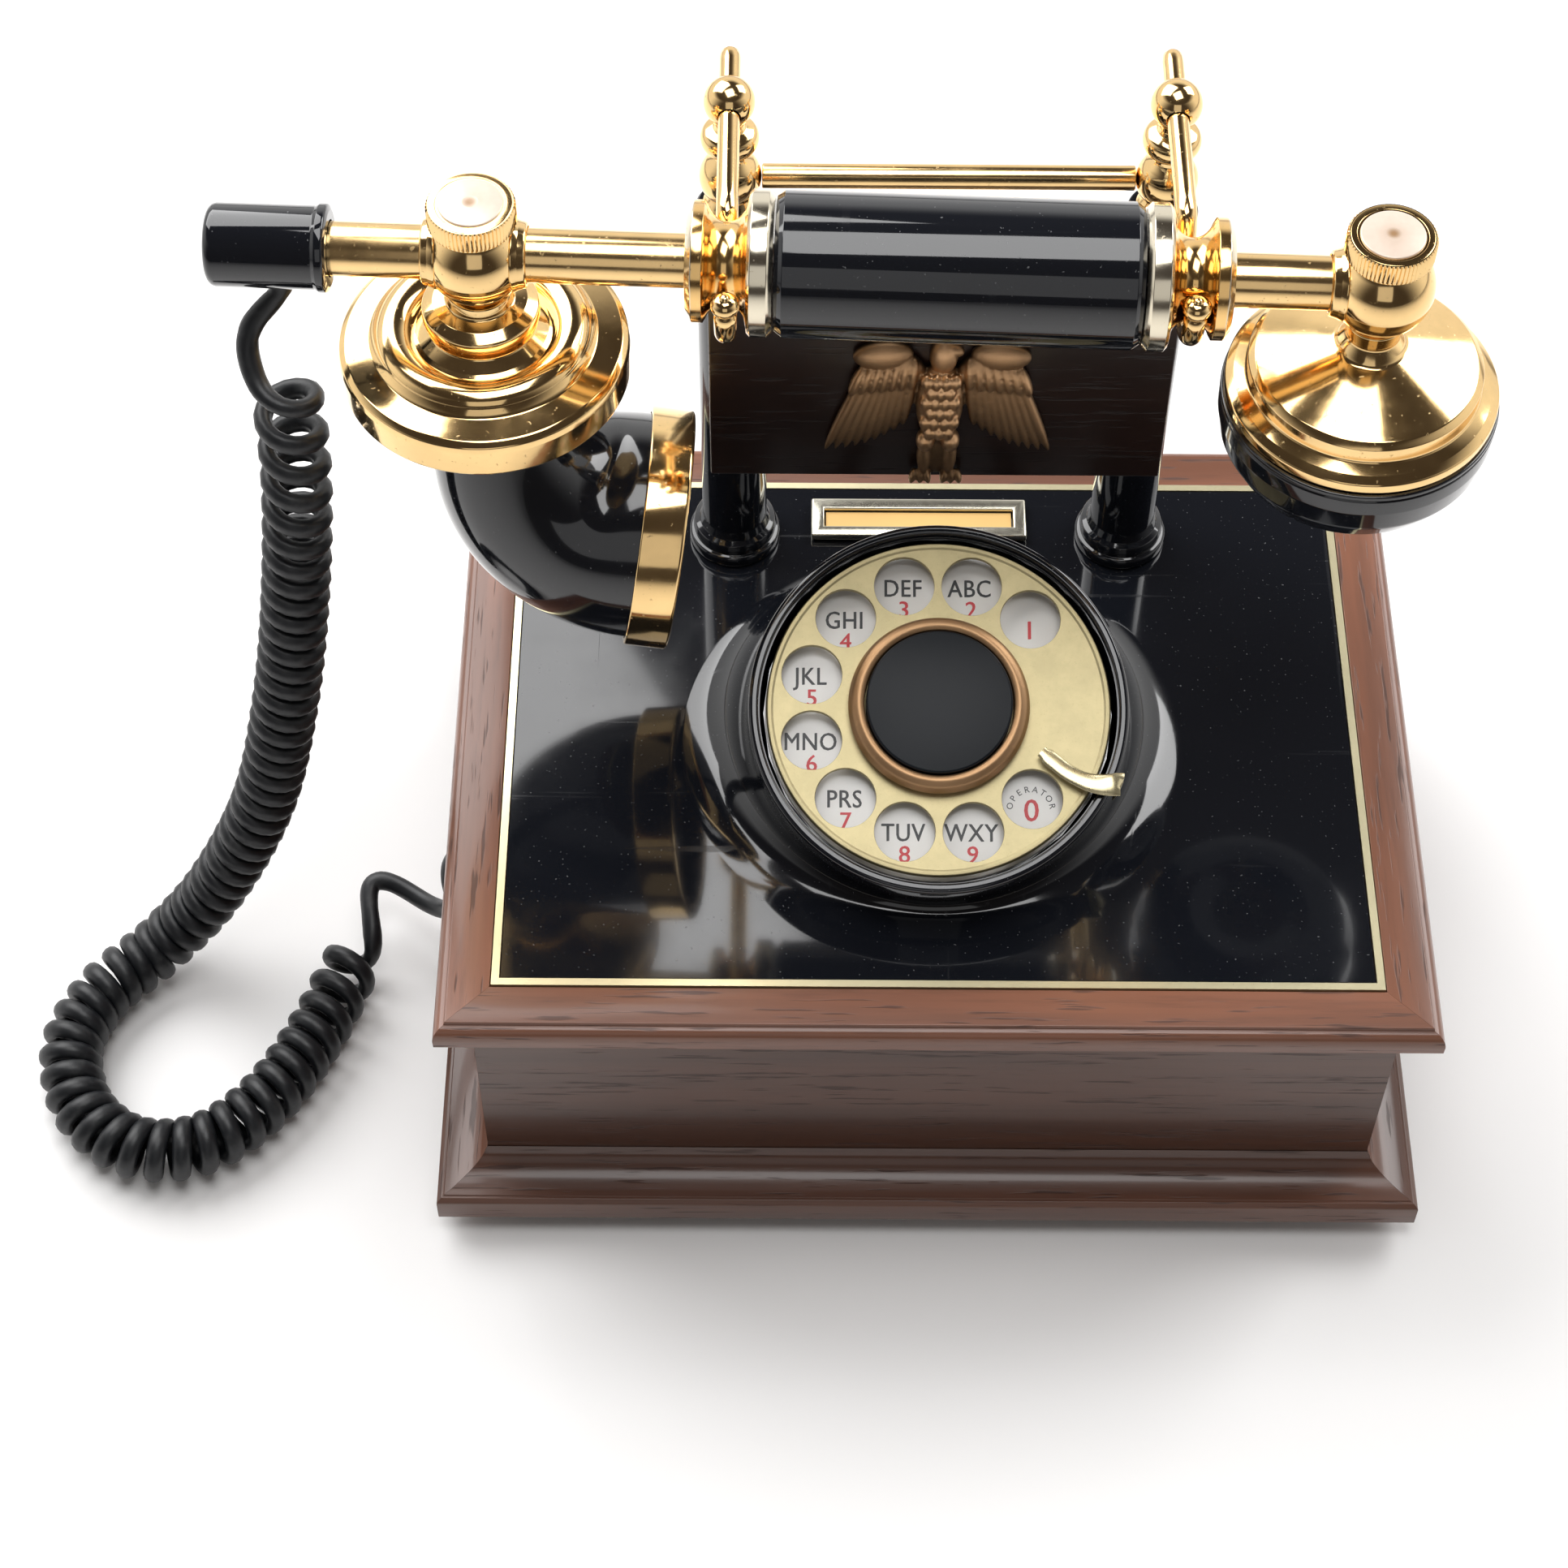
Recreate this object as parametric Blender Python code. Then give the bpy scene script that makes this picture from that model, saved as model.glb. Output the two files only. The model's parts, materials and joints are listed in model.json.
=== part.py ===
"""Cradle telephone with a turned handset, a rotary dial and a moulded wooden base.

Frame: metres, +Z up, +X to the right of somebody dialling, +Y to the back.
Lengths are written in millimetres and multiplied by MM.
"""
import math

import bmesh
import bpy
from mathutils import Matrix, Vector

MM = 0.001
GAP = 0.3            # clearance between pieces that touch
ROUND = 18           # sides of an ordinary turned piece
FINE = 24            # sides of a large turned piece

# ---- base -------------------------------------------------------------------------------------
BASE_X = 17.6        # the base's centre: the handset's cap reaches further to the left
PLATE_W = 195.7      # black top plate with its inlay
PLATE_D = 143.5
PLATE_TOP = 83.2
PLATE_THICK = 3.0
INLAY_W = 1.7
INLAY_PROUD = 0.15
REVEAL = 0.3         # dark line between the inlay and the wood
FRAME_OUT = 12.0     # how far the top moulding stands out past the plate
FRAME_H = 8.2
LEDGE_IN = 6.0       # ledge under the plate
WALL_OUT = 4.4       # case wall's outer face, past the plate's edge
WALL_THICK = 9.0
PLINTH_OUT = 16.2
PLINTH_BAND = 13.2   # top of the plinth's upright band
PLINTH_TOP = 19.6
FOOT_H = 5.7
FOOT_R = 7.0
FOOT_IN_X = 13.85    # a foot's middle, in from the plate's edge
FOOT_IN_Y = 13.75
BOTTOM_THICK = 2.2
CARD_W = 51.4
CARD_D = 11.6
CARD_X = -2.0
CARD_IN = 12.55      # the card's middle, in from the plate's back edge
CARD_RIM = 3.2
CARD_H = 2.0

# ---- dial -------------------------------------------------------------------------------------
DIAL_Y = -17.5
DIAL_H = 29.5        # height of the finger wheel's middle over the plate
DIAL_TILT = 21.5
WHEEL_R = 38.0
WHEEL_THICK = 1.6
HOLE_CIRCLE_R = WHEEL_R - 9.1
HOLE_R = 6.7
HOLE_FIRST = 45.0    # the hole of digit 1, anticlockwise from +X
HOLE_STEP = 30.0
HOLES = 10
NUMBER_DEPTH = 4.5
STOP_ANGLE = -25.0
BEZEL_R = WHEEL_R + 4.0
BORE_R = WHEEL_R + 1.4
SKIRT_R = PLATE_D / 2 - 14.25  # foot of the housing, inside the plate and short of the card
CAN_DEPTH = 30.0
SHAFT_R = 3.0
RING_R = 19.7        # bronze ring round the cap
CAP_DISC_R = 16.1
STOP_HALF = 2.0      # half the finger stop's width
ROTOR_R = 8.5
GEAR_TEETH = 36
PINION_TEETH = 9
MODULE = 0.8
MESH_SLACK = 0.1

# ---- pillars, cradle and handset ----------------------------------------------------------------
PILLAR_X = 46.0
PILLAR_IN = 15.95    # a pillar's middle, in from the plate's back edge
PILLAR_Y = PLATE_D / 2 - PILLAR_IN
PILLAR_R = 7.6
PILLAR_H = 109.8
PILLAR_TOP = PLATE_TOP + PILLAR_H
FLANGE_R = 10.7
PLUNGER_R = 2.8
PLUNGER_END = PLATE_TOP - 47.2
CROSSBAR_R = 2.65
CROSSBAR_Z = PILLAR_TOP + 8.8
BULB_R = 6.65
FINIAL_BALL_R = 5.4
BALL_TOP_Z = CROSSBAR_Z + 21.0
FORK_R = 2.25
FORK_KNOB_R = 2.9
PANEL_PAST = 5.0     # how far the panel runs past a pillar's middle
PANEL_THICK = 6.0
PANEL_LOW = PLATE_TOP + 38.0
PANEL_HIGH = PILLAR_TOP - 3.0
ORNAMENT_THICK = 2.6
HANDSET_Y = 9.6
HANDSET_Z = BALL_TOP_Z - 0.8
HANDSET_YAW = -2.25  # the handset lies slightly askew in the forks
WAIST_R = 8.0
WAIST_W = 7.0
INNER_FLANGE_R = 14.7
INNER_FLANGE_W = 6.0
OUTER_FLANGE_R = 12.1
OUTER_FLANGE_W = 4.3
GRIP_R = 14.6
TUBE_R = 5.45
BALL_R = 10.45
LEFT_BALL_X = -95.9
RIGHT_BALL_X = 83.7
CAP_IN = -124.8
CAP_OUT = -149.2
CAP_R = 8.35
SPIGOT_R = 3.0       # spigot under each nut
SPIGOT_H = 2.2
NUT_R = 8.9
NUT_H = 5.0
BALL_FOOT = -62.0    # latitude of a ball's lower flat, in degrees
BALL_LAND = 55.0     # and of its upper one
CASE_R = 29.85       # transmitter case
HORN_NECK_R = 9.3
HORN_R = 24.6
HORN_WALL = 1.8
HORN_TILT = 8.0      # the mouth looks this much below level
HORN_STRAIGHT = 8.0
MOUTH_X = -59.0
MOUTH_Z = -84.0
MOUTH_R = 26.2
COVER_R = 28.0       # receiver cover
CUP_R = 28.5
CUP_LOW = -51.0

# ---- inside, gland and cord -----------------------------------------------------------------------
WALL_CLEAR = 0.25    # between the left gong and the wall
GONG_R = 19.0
GONG_APART = 48.0
GONG_Y = -28.0
RINGER_COIL_R = 8.5
NETWORK_W = 54.0
NETWORK_D = 38.0
NETWORK_H = 20.0
NETWORK_Y = -21.0
HOOK_PIVOT_Y = PILLAR_Y - 17.8
SWITCH_W = 22.0
SWITCH_D = 15.6
BRACKET_H = 2.0
LEVER_THICK = 1.6
GLAND_R = 4.6
GLAND_Y = -17.0
GLAND_Z = 56.0
GLAND_LENGTH = 16.0
CORD_R = 2.2
COIL_R = 7.75
TABLE_Z = 8.4        # middle of the coil where it lies on the table


def material(name, colour, roughness, metallic):
    """A plain Principled material."""
    made = bpy.data.materials.new(name)
    made.use_nodes = True
    shader = made.node_tree.nodes["Principled BSDF"]
    shader.inputs["Base Color"].default_value = (*colour, 1.0)
    shader.inputs["Roughness"].default_value = roughness
    shader.inputs["Metallic"].default_value = metallic
    made.diffuse_color = (*colour, 1.0)
    return made


def finish_mesh(name, bm, look, parent=None, at=(0, 0, 0), smooth=30.0):
    """Turn a bmesh in millimetres into an object in metres, faces out."""
    bmesh.ops.remove_doubles(bm, verts=bm.verts, dist=0.001)
    bmesh.ops.recalc_face_normals(bm, faces=bm.faces)
    bmesh.ops.scale(bm, vec=(MM, MM, MM), verts=bm.verts)
    mesh = bpy.data.meshes.new(name)
    bm.to_mesh(mesh)
    bm.free()
    mesh.materials.append(look)
    mesh.shade_smooth()
    mesh.set_sharp_from_angle(angle=math.radians(smooth))
    item = bpy.data.objects.new(name, mesh)
    bpy.context.scene.collection.objects.link(item)
    item.parent = parent
    item.location = Vector(at) * MM
    return item


def loft(bm, rings, closed=False):
    """Skin a list of equal rings of points; ends are capped unless the skin closes on itself."""
    loops = [[bm.verts.new(point) for point in ring] for ring in rings]
    pairs = list(zip(loops, loops[1:]))
    if closed:
        pairs.append((loops[-1], loops[0]))
    else:
        bm.faces.new(loops[0])
        bm.faces.new(loops[-1])
    for low, high in pairs:
        for i in range(len(low)):
            j = (i + 1) % len(low)
            bm.faces.new((low[i], low[j], high[j], high[i]))


def turned(name, profile, look, sides=ROUND, parent=None, at=(0, 0, 0), along="Z"):
    """Spin a profile of (radius, height) points; one that leaves the axis is a closed ring."""
    bm = bmesh.new()
    points = [bm.verts.new((radius, 0.0, height)) for radius, height in profile]
    edges = [bm.edges.new(pair) for pair in zip(points, points[1:])]
    if profile[0][0] > 0:
        edges.append(bm.edges.new((points[-1], points[0])))
    bmesh.ops.spin(bm, geom=points + edges, cent=(0, 0, 0), axis=(0, 0, 1),
                   angle=2 * math.pi, steps=sides, use_merge=True)
    bmesh.ops.remove_doubles(bm, verts=bm.verts, dist=0.001)
    if along == "X":
        bmesh.ops.rotate(bm, verts=bm.verts, cent=(0, 0, 0), matrix=Matrix.Rotation(math.pi / 2, 3, "Y"))
    if along == "Y":
        bmesh.ops.rotate(bm, verts=bm.verts, cent=(0, 0, 0), matrix=Matrix.Rotation(-math.pi / 2, 3, "X"))
    return finish_mesh(name, bm, look, parent, at)


def prism(name, outline, low, high, look, parent=None, at=(0, 0, 0), stand=False):
    """Extrude a flat outline from low to high; stand turns it upright, facing the front."""
    bm = bmesh.new()
    loft(bm, [[(x, y, low) for x, y in outline], [(x, y, high) for x, y in outline]])
    if stand:
        bmesh.ops.rotate(bm, verts=bm.verts, cent=(0, 0, 0), matrix=Matrix.Rotation(math.pi / 2, 3, "X"))
    return finish_mesh(name, bm, look, parent, at)


def block(name, low, high, look, parent=None, bevel=0.0):
    """A box between two corners, with an optional edge bevel."""
    outline = [(low[0], low[1]), (high[0], low[1]), (high[0], high[1]), (low[0], high[1])]
    item = prism(name, outline, low[2], high[2], look, parent)
    if bevel:
        edge = item.modifiers.new("edge", "BEVEL")
        edge.width = bevel * MM
        edge.segments = 2
    return item


def boolean(item, other, operation):
    """Join or cut with another object, which is then only a helper."""
    step = item.modifiers.new(other.name, "BOOLEAN")
    step.operation = operation
    step.object = other
    other.hide_render = True
    other.display_type = "WIRE"


def arc(cx, cy, rx, ry, start, end, steps):
    """Points on an ellipse's arc, angles in degrees."""
    angles = [math.radians(start + (end - start) * i / steps) for i in range(steps + 1)]
    return [(cx + rx * math.cos(a), cy + ry * math.sin(a)) for a in angles]


def smooth_curve(points, spacing):
    """Points about `spacing` apart on a smooth curve through the given points."""
    route = [Vector(p) for p in points]
    route = [2 * route[0] - route[1]] + route + [2 * route[-1] - route[-2]]
    found = []
    for a, b, c, d in zip(route, route[1:], route[2:], route[3:]):
        steps = max(1, round((c - b).length / spacing))
        for i in range(steps):
            t = i / steps
            found.append(0.5 * ((2 * b) + (c - a) * t + (2 * a - 5 * b + 4 * c - d) * t ** 2
                                + (3 * b - a - 3 * c + d) * t ** 3))
    found.append(route[-2])
    return found


def path_rings(points, radii, sides):
    """Circles of the given radii square to a path, without twist."""
    side = None
    rings = []
    for i, centre in enumerate(points):
        ahead = points[min(i + 1, len(points) - 1)]
        behind = points[max(i - 1, 0)]
        along = (ahead - behind).normalized()
        start = side if side is not None else Vector((0.31, 0.95, 0.05))
        side = (start - along * start.dot(along)).normalized()
        other = along.cross(side)
        turns = [2 * math.pi * k / sides for k in range(sides)]
        rings.append([centre + radii[i] * (math.cos(a) * side + math.sin(a) * other) for a in turns])
    return rings


def cord_tube(name, points, radius, spacing, look):
    """A tube with filled caps on a smooth curve through the route's points."""
    curve = bpy.data.curves.new(name, "CURVE")
    curve.dimensions = "3D"
    curve.bevel_depth = radius * MM
    curve.bevel_resolution = 2
    curve.use_fill_caps = True
    route = smooth_curve(points, spacing)
    line = curve.splines.new("POLY")
    line.points.add(len(route) - 1)
    for place, point in zip(line.points, route):
        place.co = (*(point * MM), 1.0)
    curve.materials.append(look)
    item = bpy.data.objects.new(name, curve)
    item.location = (BASE_X * MM, 0, 0)
    bpy.context.scene.collection.objects.link(item)


# ---- base -------------------------------------------------------------------------------------
def rectangle(margin, level):
    """The plate's outline grown by a margin, at a height."""
    x = PLATE_W / 2 + margin
    y = PLATE_D / 2 + margin
    return [(-x, -y, level), (x, -y, level), (x, y, level), (-x, y, level)]


def moulding_ring(name, profile, look, parent):
    """A mitred moulding all round the base: (margin, height) points."""
    bm = bmesh.new()
    loft(bm, [rectangle(margin, level) for margin, level in profile], closed=True)
    return finish_mesh(name, bm, look, parent)


def moulding_rail(name, profile, corner, look, parent):
    """One mitred length of moulding, from one corner of the base to the next."""
    bm = bmesh.new()
    ends = []
    for index in (corner, (corner + 1) % 4):
        ends.append([Vector(rectangle(margin, level)[index]) for margin, level in profile])
    along = (ends[1][0] - ends[0][0]).normalized()
    shift = along * (GAP / 2) * math.sqrt(2)
    loft(bm, [[p + shift for p in ends[0]], [p - shift for p in ends[1]]])
    return finish_mesh(name, bm, look, parent)


def make_case(looks, base):
    """Case walls, plinth, top moulding, bottom, feet and inlay."""
    frame_low = PLATE_TOP - FRAME_H
    ledge = PLATE_TOP - PLATE_THICK - GAP
    frame_profile = [(0, PLATE_TOP), (9.3, PLATE_TOP), (9.3, PLATE_TOP - 0.7), (10.0, PLATE_TOP - 0.7)]
    frame_profile += arc(10.0, PLATE_TOP - 3.7, FRAME_OUT - 10.0, 3.0, 75, 0, 3)
    frame_profile += [(FRAME_OUT, frame_low + 2.0), (FRAME_OUT - 1.4, frame_low)]
    frame_profile += [(-LEDGE_IN, frame_low), (-LEDGE_IN, ledge), (0, ledge)]
    for corner, side in enumerate(("front", "right", "back", "left")):
        moulding_rail("frame_" + side, frame_profile, corner, looks["wood"], base)

    bottom_top = FOOT_H + GAP + BOTTOM_THICK
    wall_in = WALL_OUT - WALL_THICK
    case_profile = [(WALL_OUT, bottom_top + GAP), (WALL_OUT, frame_low - GAP),
                    (wall_in, frame_low - GAP), (wall_in, bottom_top + GAP)]
    case = moulding_ring("case_walls", case_profile, looks["wood"], base)
    hole = turned("gland_hole", [(0, -20), (GLAND_R + GAP, -20), (GLAND_R + GAP, 20), (0, 20)],
                  looks["black"], 16, base, gland_place(), "X")
    boolean(case, hole, "DIFFERENCE")

    cove = arc(14.0, PLINTH_TOP, 14.0 - WALL_OUT - GAP, PLINTH_TOP - 14.2, 270, 180, 4)
    plinth_profile = [(WALL_OUT + GAP, FOOT_H + GAP), (PLINTH_OUT, FOOT_H + GAP),
                      (PLINTH_OUT, PLINTH_BAND), (PLINTH_OUT - 1.0, 14.2)] + cove
    moulding_ring("plinth", plinth_profile, looks["wood"], base)

    x = PLATE_W / 2 + WALL_OUT - GAP
    y = PLATE_D / 2 + WALL_OUT - GAP
    block("bottom_plate", (-x, -y, FOOT_H + GAP), (x, y, bottom_top), looks["steel"], base)
    for name, sx, sy in (("front_left", -1, -1), ("front_right", 1, -1),
                         ("back_left", -1, 1), ("back_right", 1, 1)):
        profile = [(0, 0), (FOOT_R - 1, 0), (FOOT_R, 1.2), (FOOT_R - 1.2, FOOT_H), (0, FOOT_H)]
        place = (sx * (PLATE_W / 2 - FOOT_IN_X), sy * (PLATE_D / 2 - FOOT_IN_Y), 0)
        turned("foot_" + name, profile, looks["rubber"], 16, base, place)

    inlay_in = -REVEAL - INLAY_W
    top = PLATE_TOP + INLAY_PROUD
    inlay_profile = [(-REVEAL, ledge + GAP), (-REVEAL, top), (inlay_in, top), (inlay_in, ledge + GAP)]
    moulding_ring("inlay", inlay_profile, looks["brass"], base)


def skirt_rings(sides, steps):
    """The dial housing's outside: a flared foot on the plate that rises to a tilted collar."""
    tilt = math.radians(DIAL_TILT)
    face = Vector((0, DIAL_Y, PLATE_TOP + DIAL_H))
    normal = Vector((0, -math.sin(tilt), math.cos(tilt)))
    up = Vector((0, math.cos(tilt), math.sin(tilt)))
    foot_y = DIAL_Y + DIAL_H * math.tan(tilt)
    turns = [2 * math.pi * k / sides for k in range(sides)]

    def foot(level):
        return [Vector((SKIRT_R * math.cos(a), foot_y + SKIRT_R * math.sin(a), level)) for a in turns]

    def collar(radius, depth):
        return [face + radius * (math.cos(a) * Vector((1, 0, 0)) + math.sin(a) * up) + depth * normal
                for a in turns]

    neck = collar(BEZEL_R - 1.2, -6.5)
    base = foot(PLATE_TOP + GAP)
    rings = [base]
    for i in range(1, steps):
        t = 1 - i / steps
        ring = []
        for top, low in zip(neck, base):
            reach = (top - low).length
            first = top - normal * 0.62 * reach
            inward = Vector((top.x - low.x, top.y - low.y, 0))
            second = low + inward * 0.62
            ring.append((1 - t) ** 3 * top + 3 * (1 - t) ** 2 * t * first
                        + 3 * (1 - t) * t ** 2 * second + t ** 3 * low)
        rings.append(ring)
    rings += [neck, collar(BEZEL_R, -5.2), collar(BEZEL_R, -0.6), collar(BEZEL_R - 0.5, 0.5)]
    rings += [collar(BEZEL_R - 1.5, 1.0)]
    return rings


def make_top(looks, base, dial):
    """Top plate, and the dial housing that stands on it."""
    x = PLATE_W / 2 - REVEAL - INLAY_W - GAP
    y = PLATE_D / 2 - REVEAL - INLAY_W - GAP
    plate = block("top_plate", (-x, -y, PLATE_TOP - PLATE_THICK), (x, y, PLATE_TOP), looks["black"], base)
    bm = bmesh.new()
    loft(bm, skirt_rings(36, 6))
    housing = finish_mesh("dial_housing", bm, looks["black"], base)
    bore = turned("dial_bore", [(0, -70), (BORE_R, -70), (BORE_R, 20), (0, 20)], looks["black"], 36, dial)
    boolean(housing, bore, "DIFFERENCE")
    boolean(plate, bore, "DIFFERENCE")
    for side in (-1, 1):
        name = "plunger_hole_left" if side < 0 else "plunger_hole_right"
        low = PLATE_TOP - 10
        hole = turned(name, [(0, low), (PLUNGER_R + 0.6, low), (PLUNGER_R + 0.6, low + 20), (0, low + 20)],
                      looks["black"], 12, base, (side * PILLAR_X, PILLAR_Y, 0))
        boolean(plate, hole, "DIFFERENCE")


def make_card(looks, base):
    """Framed card behind the dial."""
    y = PLATE_D / 2 - CARD_IN
    low = PLATE_TOP + GAP

    def box(name, margin, bottom, top, look):
        x_half = CARD_W / 2 - margin
        y_half = CARD_D / 2 - margin
        return block(name, (CARD_X - x_half, y - y_half, bottom), (CARD_X + x_half, y + y_half, top),
                     looks[look], base)

    frame = box("card_frame", 0, low, low + CARD_H, "nickel")
    boolean(frame, box("card_window", CARD_RIM, low - 1, low + CARD_H + 1, "nickel"), "DIFFERENCE")
    box("card", CARD_RIM + GAP, low, low + 0.8, "card")


# ---- dial -------------------------------------------------------------------------------------
def gear_outline(teeth, turn=0.0):
    """Outline of a small spur gear with narrow teeth."""
    pitch_r = MODULE * teeth / 2
    tip, root = pitch_r + 0.6 * MODULE, pitch_r - 1.1 * MODULE
    points = []
    for k in range(teeth):
        middle = 360 * k / teeth + turn
        step = 360 / teeth
        for offset, radius in ((-0.25, root), (-0.12, tip), (0.12, tip), (0.25, root)):
            angle = math.radians(middle + offset * step)
            points.append((radius * math.cos(angle), radius * math.sin(angle)))
    return points


def make_dial(looks, dial):
    """Finger wheel, number plate, stop, centre, shaft, gear and governor."""
    wheel = turned("finger_wheel", [(SHAFT_R + GAP, -WHEEL_THICK), (WHEEL_R, -WHEEL_THICK), (WHEEL_R, 0),
                                    (SHAFT_R + GAP, 0)], looks["wheel"], 40, dial)
    for k in range(HOLES):
        angle = math.radians(HOLE_FIRST + k * HOLE_STEP)
        place = (HOLE_CIRCLE_R * math.cos(angle), HOLE_CIRCLE_R * math.sin(angle), 0)
        hole = turned(f"finger_hole_{k + 1}", [(0, -5), (HOLE_R, -5), (HOLE_R, 5), (0, 5)],
                      looks["wheel"], 12, dial, place)
        boolean(wheel, hole, "DIFFERENCE")
    can_r = BORE_R - 0.8
    turned("number_plate", [(SHAFT_R + 2, -NUMBER_DEPTH - 0.8), (can_r - 0.4, -NUMBER_DEPTH - 0.8),
                            (can_r - 0.4, -NUMBER_DEPTH), (SHAFT_R + 2,
                                                           -NUMBER_DEPTH)], looks["white"], FINE, dial)
    can_top = -NUMBER_DEPTH - 0.8 - GAP
    turned("dial_can", [(SHAFT_R + GAP, -CAN_DEPTH), (can_r, -CAN_DEPTH), (can_r, can_top),
                        (can_r - 1.2, can_top), (can_r - 1.2, -CAN_DEPTH + 1.2),
                        (SHAFT_R + GAP, -CAN_DEPTH + 1.2)], looks["steel"], FINE, dial)
    ring_in = CAP_DISC_R + GAP
    turned("dial_ring", [(ring_in, GAP), (RING_R, GAP), (RING_R, 3.4), (RING_R - 0.7, 4.7),
                         (RING_R - 1.8, 5.2),
                         (ring_in, 4.9)], looks["bronze"], FINE, dial)
    turned("dial_cap", [(0, GAP + 3.2), (SHAFT_R + GAP, GAP + 3.2), (SHAFT_R + GAP, GAP), (CAP_DISC_R, GAP),
                        (CAP_DISC_R, 5.1), (CAP_DISC_R - 0.6, 5.6), (0, 5.6)], looks["black"], FINE, dial)
    shaft = turned("dial_shaft", [(0, -CAN_DEPTH + 3.0), (SHAFT_R, -CAN_DEPTH + 3.0), (SHAFT_R, 3.2),
                                  (0, 3.2)],
                   looks["steel"], 12, dial)
    gear = prism("drive_gear", gear_outline(GEAR_TEETH), -16.0, -14.0, looks["steel"], dial)
    boolean(shaft, gear, "UNION")
    spread = MODULE * (GEAR_TEETH + PINION_TEETH) / 2 + MESH_SLACK
    governor = prism("governor", gear_outline(PINION_TEETH), -17.0, -13.0, looks["steel"], dial,
                     (spread, 0, 0))
    rotor = turned("governor_rotor", [(0, -25), (ROTOR_R, -25), (ROTOR_R, -21), (1.5, -21), (1.5, -16),
                                      (0, -16)],
                   looks["steel"], 16, dial, (spread, 0, 0))
    boolean(governor, rotor, "UNION")

    turn = Matrix.Rotation(math.radians(STOP_ANGLE), 3, "Z")
    bm = bmesh.new()
    leg_in, leg_out = WHEEL_R + GAP, BORE_R - GAP
    outline = [(leg_in, -NUMBER_DEPTH + GAP), (leg_out, -NUMBER_DEPTH + GAP), (leg_out, 2.6),
               (leg_out - 1, 3.2),
               (30.0, 2.7), (24.0, 1.9), (23.4, 1.3), (24.0, 0.8), (30.0, 1.4), (leg_in, 1.8)]
    loft(bm, [[turn @ Vector((r, side * STOP_HALF, w)) for r, w in outline] for side in (-1, 1)])
    finish_mesh("finger_stop", bm, looks["nickel"], dial)


# ---- pillars and cradle ---------------------------------------------------------------------------
def make_pillars(looks, base):
    """Two hollow pillars with the wooden panel and its ornament in front of them."""
    low = PLATE_TOP + GAP
    bore = PLUNGER_R + 0.5
    for side, name in ((-1, "left"), (1, "right")):
        profile = [(bore, low), (FLANGE_R, low), (FLANGE_R, low + 2.4), (FLANGE_R - 1.0, low + 3.2),
                   (FLANGE_R - 1.0, low + 5.6), (PILLAR_R + 0.8, low + 6.8), (PILLAR_R, low + 8.4),
                   (PILLAR_R, PILLAR_TOP), (bore, PILLAR_TOP)]
        turned("pillar_" + name, profile, looks["black"], ROUND, base, (side * PILLAR_X, PILLAR_Y, 0))
    back = PILLAR_Y - PILLAR_R - GAP
    front = back - PANEL_THICK
    reach = PILLAR_X + PANEL_PAST
    block("back_panel", (-reach, front, PANEL_LOW), (reach, back, PANEL_HIGH), looks["dark_wood"], base, 0.6)
    half = [(0, 0), (5, 0), (6, 6), (9, 14), (17, 8), (23, 5), (22, 18), (20, 30), (17, 40), (13, 44),
            (8, 41), (5, 41), (4, 46), (2.5, 49), (0, 50)]
    outline = half + [(-x, z) for x, z in reversed(half[1:-1])]
    prism("ornament", outline, 0, ORNAMENT_THICK, looks["bronze"], base, (0, front - GAP, PANEL_LOW + 0.5),
          True)


def make_cradle(looks, base):
    """Finials on plungers, the crossbar and the two forks that carry the handset."""
    seat = PILLAR_TOP + GAP
    for side, name in ((-1, "left"), (1, "right")):
        place = (side * PILLAR_X, PILLAR_Y, 0)
        profile = [(0, PLUNGER_END), (PLUNGER_R, PLUNGER_END), (PLUNGER_R, seat), (5.2, seat),
                   (5.2, seat + 1.6)]
        profile += arc(0, CROSSBAR_Z, BULB_R, BULB_R, -55, 62, 6)
        profile += [(radius, CROSSBAR_Z + up) for radius, up in
                    ((3.1, 7.6), (5.2, 9.4), (6.15, 11.2), (5.2, 13.0), (3.1, 14.8))]
        profile += arc(0, BALL_TOP_Z, FINIAL_BALL_R, FINIAL_BALL_R, -58, 90, 6)
        profile[-1] = (0, BALL_TOP_Z + FINIAL_BALL_R)
        finial = turned("finial_" + name, profile, looks["gold"], 16, base, place)
        rod_hole = turned("rod_hole_" + name, [(0, -12), (FORK_R + GAP, -12), (FORK_R + GAP, 12), (0, 12)],
                          looks["gold"], 12, base, (place[0], place[1], BALL_TOP_Z), "Y")
        boolean(finial, rod_hole, "DIFFERENCE")
        make_fork("fork_" + name, side * PILLAR_X, looks["gold"], base)
    reach = PILLAR_X - BULB_R - GAP
    turned("crossbar", [(0, -reach), (CROSSBAR_R, -reach), (CROSSBAR_R, reach), (0, reach)], looks["gold"],
           12, base, (0, PILLAR_Y, CROSSBAR_Z), "X")


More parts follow.
